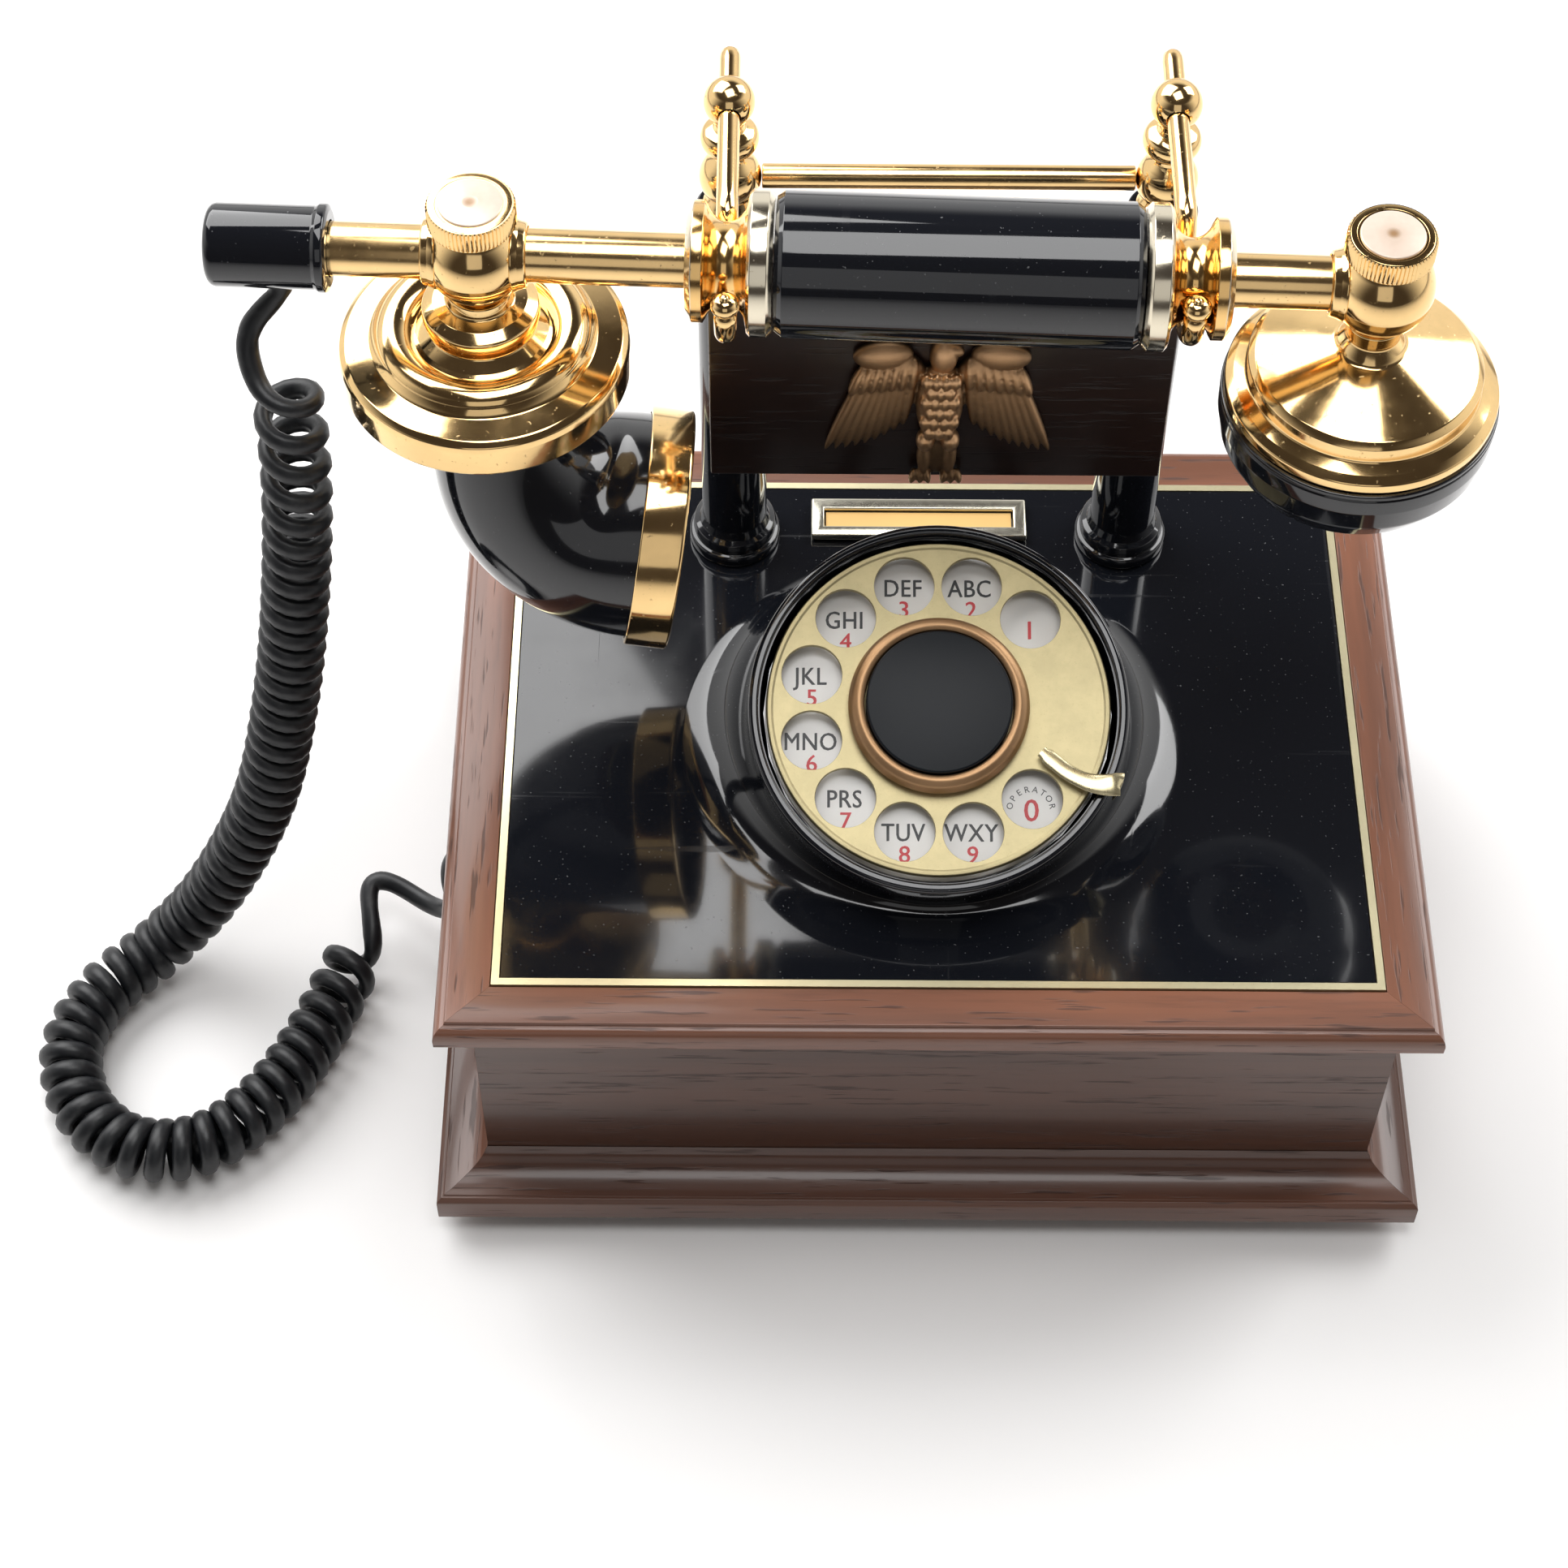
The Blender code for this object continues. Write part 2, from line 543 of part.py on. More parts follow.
def make_fork(name, x, look, base):
    """A rod through the finial's ball that dips under the handset's waist and ends in a small ball."""
    y, z = HANDSET_Y, HANDSET_Z
    bottom = z - WAIST_R - FORK_R - GAP - 0.15
    route = [(PILLAR_Y + 15.8, BALL_TOP_Z), (PILLAR_Y, BALL_TOP_Z), (y + 18.6, BALL_TOP_Z),
             (y + 14.4, BALL_TOP_Z - 1.4), (y + 12.2, BALL_TOP_Z - 4.4), (y + 10.1, z - 7.2),
             (y + 6.1, z - 10.1),
             (y, bottom), (y - 5.9, z - 10.1), (y - 10.6, z - 6.8), (y - 12.6, z - 2.2), (y - 13.0, z + 0.6)]
    points = smooth_curve([(x, a, b) for a, b in route], 6.0)
    radii = [FORK_R] * len(points)
    radii[0] = FORK_R * 0.7
    up = (points[-1] - points[-2]).normalized()
    middle = points[-1] + up * FORK_KNOB_R * 0.8
    for angle in (-35, 0, 35, 65):
        points.append(middle + up * FORK_KNOB_R * math.sin(math.radians(angle)))
        radii.append(FORK_KNOB_R * math.cos(math.radians(angle)))
    bm = bmesh.new()
    loft(bm, path_rings(points, radii, 10))
    finish_mesh(name, bm, look, base)


# ---- handset ----------------------------------------------------------------------------------------
def ball_foot():
    """Height of a ball's lower flat, from its middle."""
    return BALL_R * math.sin(math.radians(BALL_FOOT))


def make_grip(looks, handset):
    """Grip, spools, tubes, balls, nuts and end cap, all along the handset's axis."""
    spool_in = PILLAR_X - WAIST_W / 2 - INNER_FLANGE_W
    spool_out = PILLAR_X + WAIST_W / 2 + OUTER_FLANGE_W
    grip_end = spool_in - GAP
    turned("grip", [(0, -grip_end), (GRIP_R - 1, -grip_end), (GRIP_R, -grip_end + 1.2),
                    (GRIP_R, grip_end - 1.2),
                    (GRIP_R - 1, grip_end), (0, grip_end)], looks["black"], FINE, handset, (0, 0, 0), "X")
    bore = TUBE_R + GAP
    groove = PILLAR_X - WAIST_W / 2
    far = PILLAR_X + WAIST_W / 2
    for side, name in ((-1, "left"), (1, "right")):
        profile = [(0, spool_in), (INNER_FLANGE_R, spool_in), (INNER_FLANGE_R, groove - 1.2),
                   (OUTER_FLANGE_R, groove), (WAIST_R, groove + 0.6), (WAIST_R, far - 0.6),
                   (OUTER_FLANGE_R, far),
                   (OUTER_FLANGE_R, spool_out - 0.8), (OUTER_FLANGE_R - 1.5, spool_out), (bore, spool_out),
                   (bore, spool_out - 6), (0, spool_out - 6)]
        turned("spool_" + name, [(r, side * x) for r, x in profile], looks["gold"], FINE, handset,
               (0, 0, 0), "X")
    rod_in = spool_out - 6 + GAP
    turned("tube_left", [(0, CAP_IN - 3.5), (TUBE_R, CAP_IN - 3.5), (TUBE_R, -rod_in), (0, -rod_in)],
           looks["gold"], 20, handset, (0, 0, 0), "X")
    rod_out = RIGHT_BALL_X - 4.0
    turned("tube_right", [(0, rod_in), (TUBE_R, rod_in), (TUBE_R, rod_out), (0, rod_out)],
           looks["gold"], 20, handset, (0, 0, 0), "X")
    for name, x, start, end in (("left", LEFT_BALL_X, -20, 20), ("right", RIGHT_BALL_X, -20, -4 + GAP)):
        profile = [(0, ball_foot())]
        profile += arc(0, 0, BALL_R, BALL_R, BALL_FOOT, BALL_LAND, 8)
        top = profile[-1][1]
        profile += [(SPIGOT_R + GAP, top), (SPIGOT_R + GAP, top - SPIGOT_H), (0, top - SPIGOT_H)]
        ball = turned("ball_" + name, profile, looks["gold"], ROUND, handset, (x, 0, 0))
        bore_tool = turned("tube_bore_" + name, [(0, start), (bore, start), (bore, end), (0, end)],
                           looks["gold"], 20, handset, (x, 0, 0), "X")
        boolean(ball, bore_tool, "DIFFERENCE")
        foot = top + GAP
        low = foot - SPIGOT_H + GAP
        crown = foot + NUT_H
        turned("nut_" + name, [(0, low), (SPIGOT_R, low), (SPIGOT_R, foot), (NUT_R - 0.6, foot),
                               (NUT_R, foot + 0.6),
                               (NUT_R, crown - 0.7), (NUT_R - 0.8, crown), (6.5, crown + 0.1),
                               (6.3, crown + 0.4),
                               (0, crown + 0.6)], looks["gold"], ROUND, handset, (x, 0, 0))
    cap_profile = [(0, CAP_OUT), (CAP_R - 1.6, CAP_OUT), (CAP_R, CAP_OUT + 1.8), (CAP_R, CAP_IN - 2.2),
                   (CAP_R + 0.5, CAP_IN - 1.6), (CAP_R + 0.5, CAP_IN), (bore, CAP_IN),
                   (bore, CAP_IN - 4), (0, CAP_IN - 4)]
    turned("end_cap", cap_profile, looks["black"], ROUND, handset, (0, 0, 0), "X")


def make_transmitter(looks, handset):
    """Gold case under the left ball, with its capsule, and the bent horn with its mouth ring."""
    x = LEFT_BALL_X
    neck = ball_foot() - GAP
    outer = [(0, neck), (7.0, neck), (7.4, -12.5), (12.0, -13.6), (12.0, -16.4), (16.5, -20.6), (20.0, -20.0),
             (23.0, -22.6), (27.0, -23.4), (29.0, -24.4), (CASE_R, -25.8), (CASE_R, -33.0), (28.2, -34.0),
             (9.4, -34.2), (9.4, -36.4)]
    inner = [(7.4, -36.4), (7.4, -32.6), (27.4, -32.2), (27.4, -26.4), (0, -25.0)]
    turned("transmitter_case", outer + inner, looks["gold"], FINE, handset, (x, 0, 0))
    turned("transmitter_unit", [(0, -30.8), (22.0, -30.8), (24.0, -29.6), (24.0, -27.6), (0, -27.0)],
           looks["steel"], 20, handset, (x, 0, 0))
    mouth = Vector((MOUTH_X, 0, MOUTH_Z))
    tilt = math.radians(HORN_TILT)
    ahead = Vector((math.cos(tilt), 0, -math.sin(tilt)))
    collar = Vector((x, 0, -36.4 - GAP))
    start = collar + Vector((0, 0, -1.5))
    bend = Vector((x, 0, mouth.z + (mouth.x - x) * math.tan(tilt)))
    seat = mouth - ahead * HORN_STRAIGHT
    steps = 8
    centres = [collar]
    outside = [HORN_NECK_R]
    for i in range(steps + 1):
        t = i / steps
        centres.append((1 - t) ** 2 * start + 2 * t * (1 - t) * bend + t ** 2 * seat)
        outside.append(HORN_NECK_R + (HORN_R - HORN_NECK_R) * (1 - (1 - t) ** 1.6) ** 0.9)
    centres.append(mouth)
    outside.append(HORN_R)
    rings = path_rings(centres, outside, ROUND)
    inside = path_rings(centres, [radius - HORN_WALL for radius in outside], ROUND)
    bm = bmesh.new()
    loft(bm, rings + inside[::-1], closed=True)
    finish_mesh("horn", bm, looks["black"], handset)
    ring_in = HORN_R + GAP
    lip = HORN_R - 2.6
    back = GAP - HORN_STRAIGHT + 0.2
    ring = turned("mouth_ring", [(ring_in, back), (MOUTH_R, back), (MOUTH_R, 2.0), (lip, 2.0),
                                 (lip, GAP + 0.2),
                                 (ring_in, GAP + 0.2)], looks["gold"], FINE, handset)
    ring.location = mouth * MM
    ring.rotation_euler = (0, math.pi / 2 + tilt, 0)


def make_receiver(looks, handset):
    """Gold cover, capsule and black ear cup under the right ball."""
    x = RIGHT_BALL_X
    neck = ball_foot() - GAP
    outer = [(0, neck), (6.4, neck), (6.8, -13.0), (9.0, -16.5), (23.0, -21.5), (23.6, -22.4), (23.6, -25.6),
             (26.6, -27.2), (COVER_R, -28.4), (COVER_R, -31.0)]
    inner = [(25.6, -31.0), (25.6, -29.2), (21.2, -26.6), (21.2, -24.2), (0, -22.0)]
    turned("receiver_cover", outer + inner, looks["gold"], FINE, handset, (x, 0, 0))
    turned("receiver_unit", [(0, -36.0), (20.0, -36.0), (20.0, -27.5), (8.0, -24.8), (0, -24.8)],
           looks["steel"],
           20, handset, (x, 0, 0))
    rim = -31.0 - GAP
    cup = [(0, CUP_LOW), (18.0, CUP_LOW), (23.5, CUP_LOW + 2.6), (27.2, -43.0), (CUP_R, -37.0), (CUP_R, rim),
           (22.0, rim), (22.0, -38.0), (21.0, -44.0), (17.0, CUP_LOW + 3.0), (0, CUP_LOW + 2.6)]
    turned("receiver_cup", cup, looks["black"], FINE, handset, (x, 0, 0))


# ---- inside -------------------------------------------------------------------------------------------
def make_inside(looks, base):
    """Ringer, network and the switch that the cradle works."""
    floor = FOOT_H + GAP + BOTTOM_THICK + GAP
    room = PLATE_W / 2 + WALL_OUT - WALL_THICK
    gong_x = -(room - GONG_R - WALL_CLEAR)
    x = gong_x + GONG_APART / 2
    frame = block("ringer_frame", (x - 20, -6, floor), (x + 20, 26, floor + 3), looks["steel"], base)
    coil = turned("ringer_coil", [(0, -15), (RINGER_COIL_R, -15), (RINGER_COIL_R, 15), (0, 15)],
                  looks["steel"],
                  16, base, (x, 17, floor + RINGER_COIL_R + 2.0), "X")
    boolean(frame, coil, "UNION")
    for name, place in (("left", gong_x), ("right", gong_x + GONG_APART)):
        profile = [(0, floor), (2.5, floor), (2.5, floor + 15), (GONG_R - 4.5, floor + 12.0),
                   (GONG_R - 2.4, floor + 7), (GONG_R - 1.0, floor + 3), (GONG_R, floor + 3),
                   (GONG_R - 0.8, floor + 8), (GONG_R - 3.4, floor + 13.6), (2.5, floor + 17),
                   (0, floor + 17)]
        turned("gong_" + name, profile, looks["brass"], 20, base, (place, GONG_Y, 0))
    rod = block("clapper", (x - 0.6, GONG_Y + 3, floor + 8), (x + 0.6, -8, floor + 9.6), looks["steel"], base)
    tip = turned("clapper_tip", [(0, -2.6), (3.0, -2.6), (3.0, 2.6), (0, 2.6)], looks["brass"], 12, base,
                 (x, GONG_Y + 1, floor + 8.8))
    boolean(rod, tip, "UNION")
    make_switch(looks, base, floor, room)


def make_switch(looks, base, floor, room):
    """Lever under the plungers, and the bracket that carries the switch and the network."""
    top = PLUNGER_END - GAP - 0.1
    arm = 8.0
    reach = PILLAR_X + 4.0
    near = PILLAR_Y - 3.6
    far = PILLAR_Y + 3.0
    lever = [(-arm, HOOK_PIVOT_Y - 1.2), (arm, HOOK_PIVOT_Y - 1.2), (arm, near), (reach, near), (reach, far),
             (-reach, far), (-reach, near), (-arm, near)]
    prism("hook_lever", lever, top - LEVER_THICK, top, looks["steel"], base)
    right = room - 9.25
    front = NETWORK_Y - NETWORK_D / 2
    back = NETWORK_Y + NETWORK_D / 2
    switch_back = HOOK_PIVOT_Y - 2.4
    bracket = block("switch_bracket", (right - NETWORK_W, front, floor), (right, back, floor + NETWORK_H),
                    looks["grey"], base)
    bar = block("bracket_bar", (-SWITCH_W / 2, switch_back - 8, floor),
                (right, switch_back, floor + BRACKET_H),
                looks["grey"], base)
    arm_form = block("bracket_arm", (right - 20, back - 1, floor),
                     (right - 8, switch_back, floor + BRACKET_H),
                     looks["grey"], base)
    switch = block("switch_form", (-SWITCH_W / 2, switch_back - SWITCH_D, floor),
                   (SWITCH_W / 2, switch_back, top + 6),
                   looks["grey"], base)
    for piece in (bar, arm_form, switch):
        boolean(bracket, piece, "UNION")


def gland_place():
    """Middle of the gland, in the left wall."""
    return (-(PLATE_W / 2 + WALL_OUT), GLAND_Y, GLAND_Z)


def make_cord(looks, base):
    """Gland in the left wall, the curly cord's outer shape and its two straight ends."""
    out = 4.2
    half = GLAND_LENGTH / 2
    turned("cord_gland", [(CORD_R + GAP, -half), (GLAND_R, -half), (GLAND_R, half), (CORD_R + GAP, half)],
           looks["rubber"], 16, base, (gland_place()[0] + half - out, GLAND_Y, GLAND_Z), "X")
    # From under the handset's cap, out to the left and round to the coil's first turn.
    top = [(-135, 15, 213.2), (-135, 15, 210), (-139, 13, 207), (-144, 10, 201), (-143.5, 8, 196)]
    cord_tube("cord_lead_top", top, CORD_R, 6.0, looks["cord"])
    # The coil hangs, sags away to the left and comes down to the table.
    coil = [(-136, 5, 193), (-137, 3, 165), (-141, 0, 130), (-147, -4, 95), (-156, -7, 60), (-171, -10, 28),
            (-186, -16, 11)]
    # It lies in a hook: round to the front, then straight back towards the base.
    coil += [(-199, -28, TABLE_Z), (-205, -44, TABLE_Z), (-200, -61, TABLE_Z), (-187, -71, TABLE_Z),
             (-171, -70, TABLE_Z), (-157, -58, TABLE_Z), (-146, -38, TABLE_Z), (-137, -11, TABLE_Z)]
    cord_tube("cord_coil", coil, COIL_R, 14.0, looks["cord"])
    # The last turn opens, crosses to the wall and climbs it to the gland.
    end = [(-131, -7, 10), (-136, -4, 15), (-137, 0, 17), (-131, 0, 17), (-123, -6, 16), (-116, -12, 20),
           (-112.5, -16, 30), (-113, -18, 43), (-112, -17, 53), (-107, -17, 56)]
    cord_tube("cord_lead_base", end, CORD_R, 5.0, looks["cord"])


def main():
    for item in list(bpy.data.objects):
        bpy.data.objects.remove(item)
    looks = {
        "wood": material("wood", (0.33, 0.13, 0.06), 0.4, 0.0),
        "dark_wood": material("dark_wood", (0.13, 0.04, 0.025), 0.4, 0.0),
        "black": material("gloss_black", (0.012, 0.013, 0.016), 0.12, 0.0),
        "gold": material("gold", (0.93, 0.62, 0.22), 0.12, 1.0),
        "brass": material("brass", (0.85, 0.75, 0.45), 0.3, 1.0),
        "wheel": material("wheel", (0.62, 0.54, 0.32), 0.35, 1.0),
        "bronze": material("bronze", (0.3, 0.2, 0.11), 0.4, 1.0),
        "nickel": material("nickel", (0.7, 0.68, 0.6), 0.25, 1.0),
        "white": material("white_plate", (0.8, 0.8, 0.78), 0.3, 0.0),
        "card": material("card", (0.85, 0.66, 0.3), 0.6, 0.0),
        "steel": material("steel", (0.5, 0.5, 0.5), 0.4, 1.0),
        "grey": material("grey_plastic", (0.25, 0.25, 0.26), 0.5, 0.0),
        "rubber": material("rubber", (0.03, 0.03, 0.03), 0.7, 0.0),
        "cord": material("cord", (0.02, 0.022, 0.024), 0.45, 0.0),
    }
    base = bpy.data.objects.new("base_frame", None)
    dial = bpy.data.objects.new("dial_axis", None)
    handset = bpy.data.objects.new("handset_axis", None)
    for holder in (base, dial, handset):
        bpy.context.scene.collection.objects.link(holder)
    base.location = (BASE_X * MM, 0, 0)
    dial.parent = base
    dial.location = Vector((0, DIAL_Y, PLATE_TOP + DIAL_H)) * MM
    dial.rotation_euler = (math.radians(DIAL_TILT), 0, 0)
    handset.parent = base
    handset.location = Vector((0, HANDSET_Y, HANDSET_Z)) * MM
    handset.rotation_euler = (0, 0, math.radians(HANDSET_YAW))

    make_case(looks, base)
    make_top(looks, base, dial)
    make_card(looks, base)
    make_dial(looks, dial)
    make_pillars(looks, base)
    make_cradle(looks, base)
    make_grip(looks, handset)
    make_transmitter(looks, handset)
    make_receiver(looks, handset)
    make_inside(looks, base)
    make_cord(looks, base)


main()
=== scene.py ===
"""Looks of a cradle telephone: wood, gold plate, black mouldings, dial lettering and the curly cord."""
import json
import math

import bmesh
import bpy
from bpy.props import FloatProperty, FloatVectorProperty, IntProperty, PointerProperty
from mathutils import Matrix, Vector


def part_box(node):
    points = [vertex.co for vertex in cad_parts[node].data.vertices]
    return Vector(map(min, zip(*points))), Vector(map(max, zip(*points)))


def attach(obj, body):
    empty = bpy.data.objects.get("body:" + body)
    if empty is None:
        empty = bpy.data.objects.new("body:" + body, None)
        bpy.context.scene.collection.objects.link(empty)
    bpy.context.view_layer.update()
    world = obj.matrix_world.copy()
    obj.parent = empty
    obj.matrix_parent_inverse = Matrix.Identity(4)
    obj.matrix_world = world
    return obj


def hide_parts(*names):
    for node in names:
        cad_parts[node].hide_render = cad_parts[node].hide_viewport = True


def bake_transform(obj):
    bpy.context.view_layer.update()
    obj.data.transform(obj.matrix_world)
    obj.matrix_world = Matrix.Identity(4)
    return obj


bl_info = {
    "name": "Cradle Telephone",
    "version": (1, 0, 0),
    "blender": (4, 5, 0),
    "location": "3D View > Sidebar > Telephone",
    "description": "Models a cradle telephone with a turned handset, a dial and a curly cord",
    "category": "Add Mesh",
}

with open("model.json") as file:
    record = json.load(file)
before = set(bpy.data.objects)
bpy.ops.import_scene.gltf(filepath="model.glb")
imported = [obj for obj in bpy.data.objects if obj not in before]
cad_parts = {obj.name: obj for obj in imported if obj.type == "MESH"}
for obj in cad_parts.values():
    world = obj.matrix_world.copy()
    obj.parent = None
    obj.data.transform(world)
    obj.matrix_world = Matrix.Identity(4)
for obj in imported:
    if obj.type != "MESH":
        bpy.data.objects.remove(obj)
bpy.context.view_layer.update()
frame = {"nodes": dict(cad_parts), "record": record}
MM = 0.001


# ---- places taken from the frame -----------------------------------------------------------------
def joint(name):
    """One joint of the record, by name."""
    return next(j for j in frame["record"]["behaviour"]["joints"] if j["name"] == name)


def middle(node):
    """Centre of a node's box."""
    low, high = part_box(node)
    return (Vector(low) + Vector(high)) / 2


def handset_frame():
    """Matrix from the handset's own axes, along its grip, to the row's."""
    left = Vector(joint("nut_left_turn")["pos_m"])
    right = Vector(joint("nut_right_turn")["pos_m"])
    turn = math.atan2(right.y - left.y, right.x - left.x)
    return Matrix.Translation(middle("grip")) @ Matrix.Rotation(turn, 4, "Z")


def dial_frame():
    """Matrix from the finger wheel's face, +Z out of it, to the row's axes."""
    axis = Vector(joint("dial_turn")["axis"])
    tilt = math.atan2(-axis.y, axis.z)
    return Matrix.Translation(joint("dial_turn")["pos_m"]) @ Matrix.Rotation(tilt, 4, "X")


BASE = Matrix.Translation((middle("case_walls").x, 0, 0))
BASE_X = BASE.translation.x
HANDSET = handset_frame()
DIAL = dial_frame()
PLATE_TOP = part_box("frame_front")[1][2]
FRAME_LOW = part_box("frame_front")[0][2]
PLATE_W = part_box("inlay")[1][0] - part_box("inlay")[0][0] + 0.6 * MM
PLATE_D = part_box("inlay")[1][1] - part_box("inlay")[0][1] + 0.6 * MM
PILLAR_X = middle("pillar_right").x - BASE_X
PILLAR_Y = middle("pillar_right").y


# ---- sizes and colours that a user would change --------------------------------------------------
def length(name, text, value):
    """A length in metres."""
    return FloatProperty(name=name, description=text, default=value, min=0.0, unit="LENGTH", precision=5)


def colour(name, text, value):
    """A linear colour."""
    return FloatVectorProperty(name=name, description=text, default=value, size=3, min=0.0, max=1.0,
                               subtype="COLOR")


class PhoneSizes(bpy.types.PropertyGroup):
    """Sizes of the details."""
    sides: IntProperty(name="Sides", description="Sides of a turned piece", default=96, min=24, max=192)
    letter: length("Letters", "Height of the dial's letters", 0.0043)
    knurls: IntProperty(name="Knurls", description="Ridges round a nut", default=64, min=20, max=120)
    strand_w: length("Strand width", "The cord's strand along its coil", 0.0047)
    strand_t: length("Strand thickness", "The cord's strand across its coil", 0.0039)
    coil_d: length("Coil", "The curly cord's outer diameter", 0.0154)
    pitch: length("Pitch", "Length of one closed turn of the coil", 0.0054)
    loose_pitch: length("Loose pitch", "Length of one turn at the hanging end", 0.0105)


class PhoneColours(bpy.types.PropertyGroup):
    """Colours of the finishes."""
    wood: colour("Wood", "Red-brown hardwood", (0.215, 0.083, 0.045))
    wood_dark: colour("Dark wood", "Grain lines and the back panel", (0.05, 0.017, 0.011))
    gold: colour("Gold", "Gold plate", (0.94, 0.65, 0.30))
    spool: colour("Spool gold", "Deeper gold in the spools", (0.93, 0.60, 0.24))
    black: colour("Black", "Polished moulding", (0.0065, 0.0075, 0.0105))
    wheel: colour("Wheel", "Pale satin brass", (0.50, 0.43, 0.245))
    bronze: colour("Bronze", "Antique bronze", (0.27, 0.165, 0.088))
    enamel: colour("Enamel", "Number plate", (0.86, 0.85, 0.83))
    digit: colour("Digits", "Red digits", (0.62, 0.02, 0.03))
    card: colour("Card", "Card behind the dial", (0.80, 0.50, 0.17))
    cord: colour("Cord", "Satin cord", (0.006, 0.007, 0.009))
    nickel: colour("Nickel", "Nickel plate", (0.78, 0.75, 0.63))


def sizes():
    """The scene's sizes."""
    return bpy.context.scene.phone_sizes


def colours():
    """The scene's colours."""
    return bpy.context.scene.phone_colours


# ---- shader maths --------------------------------------------------------------------------------
PLAIN_ROWS = (tuple, list, Vector, bpy.types.bpy_prop_array)


class Value:
    """A number that varies over the surface, with ordinary arithmetic."""

    def __init__(self, shading, socket):
        self.shading = shading
        self.socket = socket

    def maths(self, operation, *values):
        """One Math node on some values."""
        return self.shading.node("ShaderNodeMath", {"operation": operation, "use_clamp": False}, *values)

    def __add__(self, other):
        return self.maths("ADD", self, other)

    def __mul__(self, other):
        return self.maths("MULTIPLY", self, other)

    def __sub__(self, other):
        return self.maths("SUBTRACT", self, other)

    def __rsub__(self, other):
        return self.maths("SUBTRACT", other, self)

    __radd__ = __add__
    __rmul__ = __mul__

    def band(self, low, high):
        """0 below low, 1 above high, smooth between."""
        settings = {"interpolation_type": "SMOOTHSTEP"}
        return self.shading.node("ShaderNodeMapRange", settings, self, low, high, 0.0, 1.0)


class Shading:
    """One material and the nodes that make it."""

    def __init__(self, name, roughness, metallic=0.0, **constants):
        self.material = bpy.data.materials.new(name)
        self.material.use_nodes = True
        self.nodes = self.material.node_tree.nodes
        self.links = self.material.node_tree.links
        self.shader = self.nodes["Principled BSDF"]
        self.set("Roughness", roughness)
        self.set("Metallic", metallic)
        for socket, value in constants.items():
            self.set(socket.replace("_", " "), value)

    def put(self, socket, value):
        """Link a value to a socket, or set the socket to a constant."""
        if isinstance(value, Value):
            self.links.new(value.socket, socket)
        elif isinstance(value, PLAIN_ROWS) and len(socket.default_value) == 4:
            socket.default_value = (*value[:3], 1.0)
        elif hasattr(value, "r"):
            socket.default_value = (*value, 1.0)
        else:
            socket.default_value = value

    def set(self, socket, value):
        """Give one of the shader's own sockets a constant or a link."""
        self.put(self.shader.inputs[socket], value)

    def node(self, kind, settings=None, *values, out=0, **named):
        """Add a node: its settings first, then its sockets in order or by name."""
        made = self.nodes.new(kind)
        for key, value in (settings or {}).items():
            setattr(made, key, value)
        for place, value in enumerate(values):
            self.put(made.inputs[place], value)
        for key, value in named.items():
            self.put(made.inputs[key.replace("_", " ")], value)
        return Value(self, made.outputs[out])

    def where(self, stretch=(1, 1, 1), turn=(0, 0, 0)):
        """Object coordinates, stretched and turned."""
        place = self.node("ShaderNodeTexCoord", out="Object")
        return self.node("ShaderNodeMapping", None, place, (0, 0, 0), turn, stretch)

    def noise(self, scale, detail=3.0, rough=0.5, stretch=(1, 1, 1), turn=(0, 0, 0)):
        """Noise from 0 to 1 over the object."""
        return self.node("ShaderNodeTexNoise", None, Vector=self.where(stretch, turn), Scale=scale,
                         Detail=detail, Roughness=rough)

    def mix(self, mask, low, high):
        """Colour that goes from low to high with the mask."""
        made = self.nodes.new("ShaderNodeMix")
        made.data_type = "RGBA"
        self.put(made.inputs[0], mask)
        self.put(made.inputs[6], low)
        self.put(made.inputs[7], high)
        return Value(self, made.outputs[2])

    def bump(self, height, strength, distance):
        """Relief on the surface."""
        self.set("Normal", self.node("ShaderNodeBump", None, Strength=strength, Distance=distance,
                                     Height=height))

    def attribute(self, name):
        """A number stored on the mesh."""
        return self.node("ShaderNodeAttribute", {"attribute_name": name}, out="Fac")


def tint(value, factor):
    """A colour made darker or lighter."""
    return tuple(min(1.0, channel * factor) for channel in value)


def make_wood(name, along, light=1.0, dark=1.0):
    """Lacquered hardwood whose grain and open pores run along one axis."""
    shade = Shading(name, 0.32, Coat_Weight=0.35, Coat_Roughness=0.12)
    stretch = {"X": (0.06, 1, 1), "Y": (1, 0.06, 1), "Z": (1, 1, 0.06)}[along]
    figure = shade.noise(70, 4, 0.6, stretch)
    streak = shade.noise(420, 5, 0.7, stretch)
    pores = shade.noise(900, 2, 0.55, stretch).band(0.6, 0.68)
    warm = tint(colours().wood, light)
    deep = tint(colours().wood_dark, dark)
    body = shade.mix(figure.band(0.32, 0.7), tint(warm, 0.72), tint(warm, 1.22))
    lines = shade.mix(streak.band(0.48, 0.78) * 0.42, body, deep)
    shade.set("Base Color", shade.mix(pores * 0.62, lines, tint(deep, 0.6)))
    shade.set("Roughness", 0.3 + pores * 0.3 + streak * 0.08)
    shade.bump(1 - pores - streak * 0.25, 0.3, 0.0002)
    return shade.material


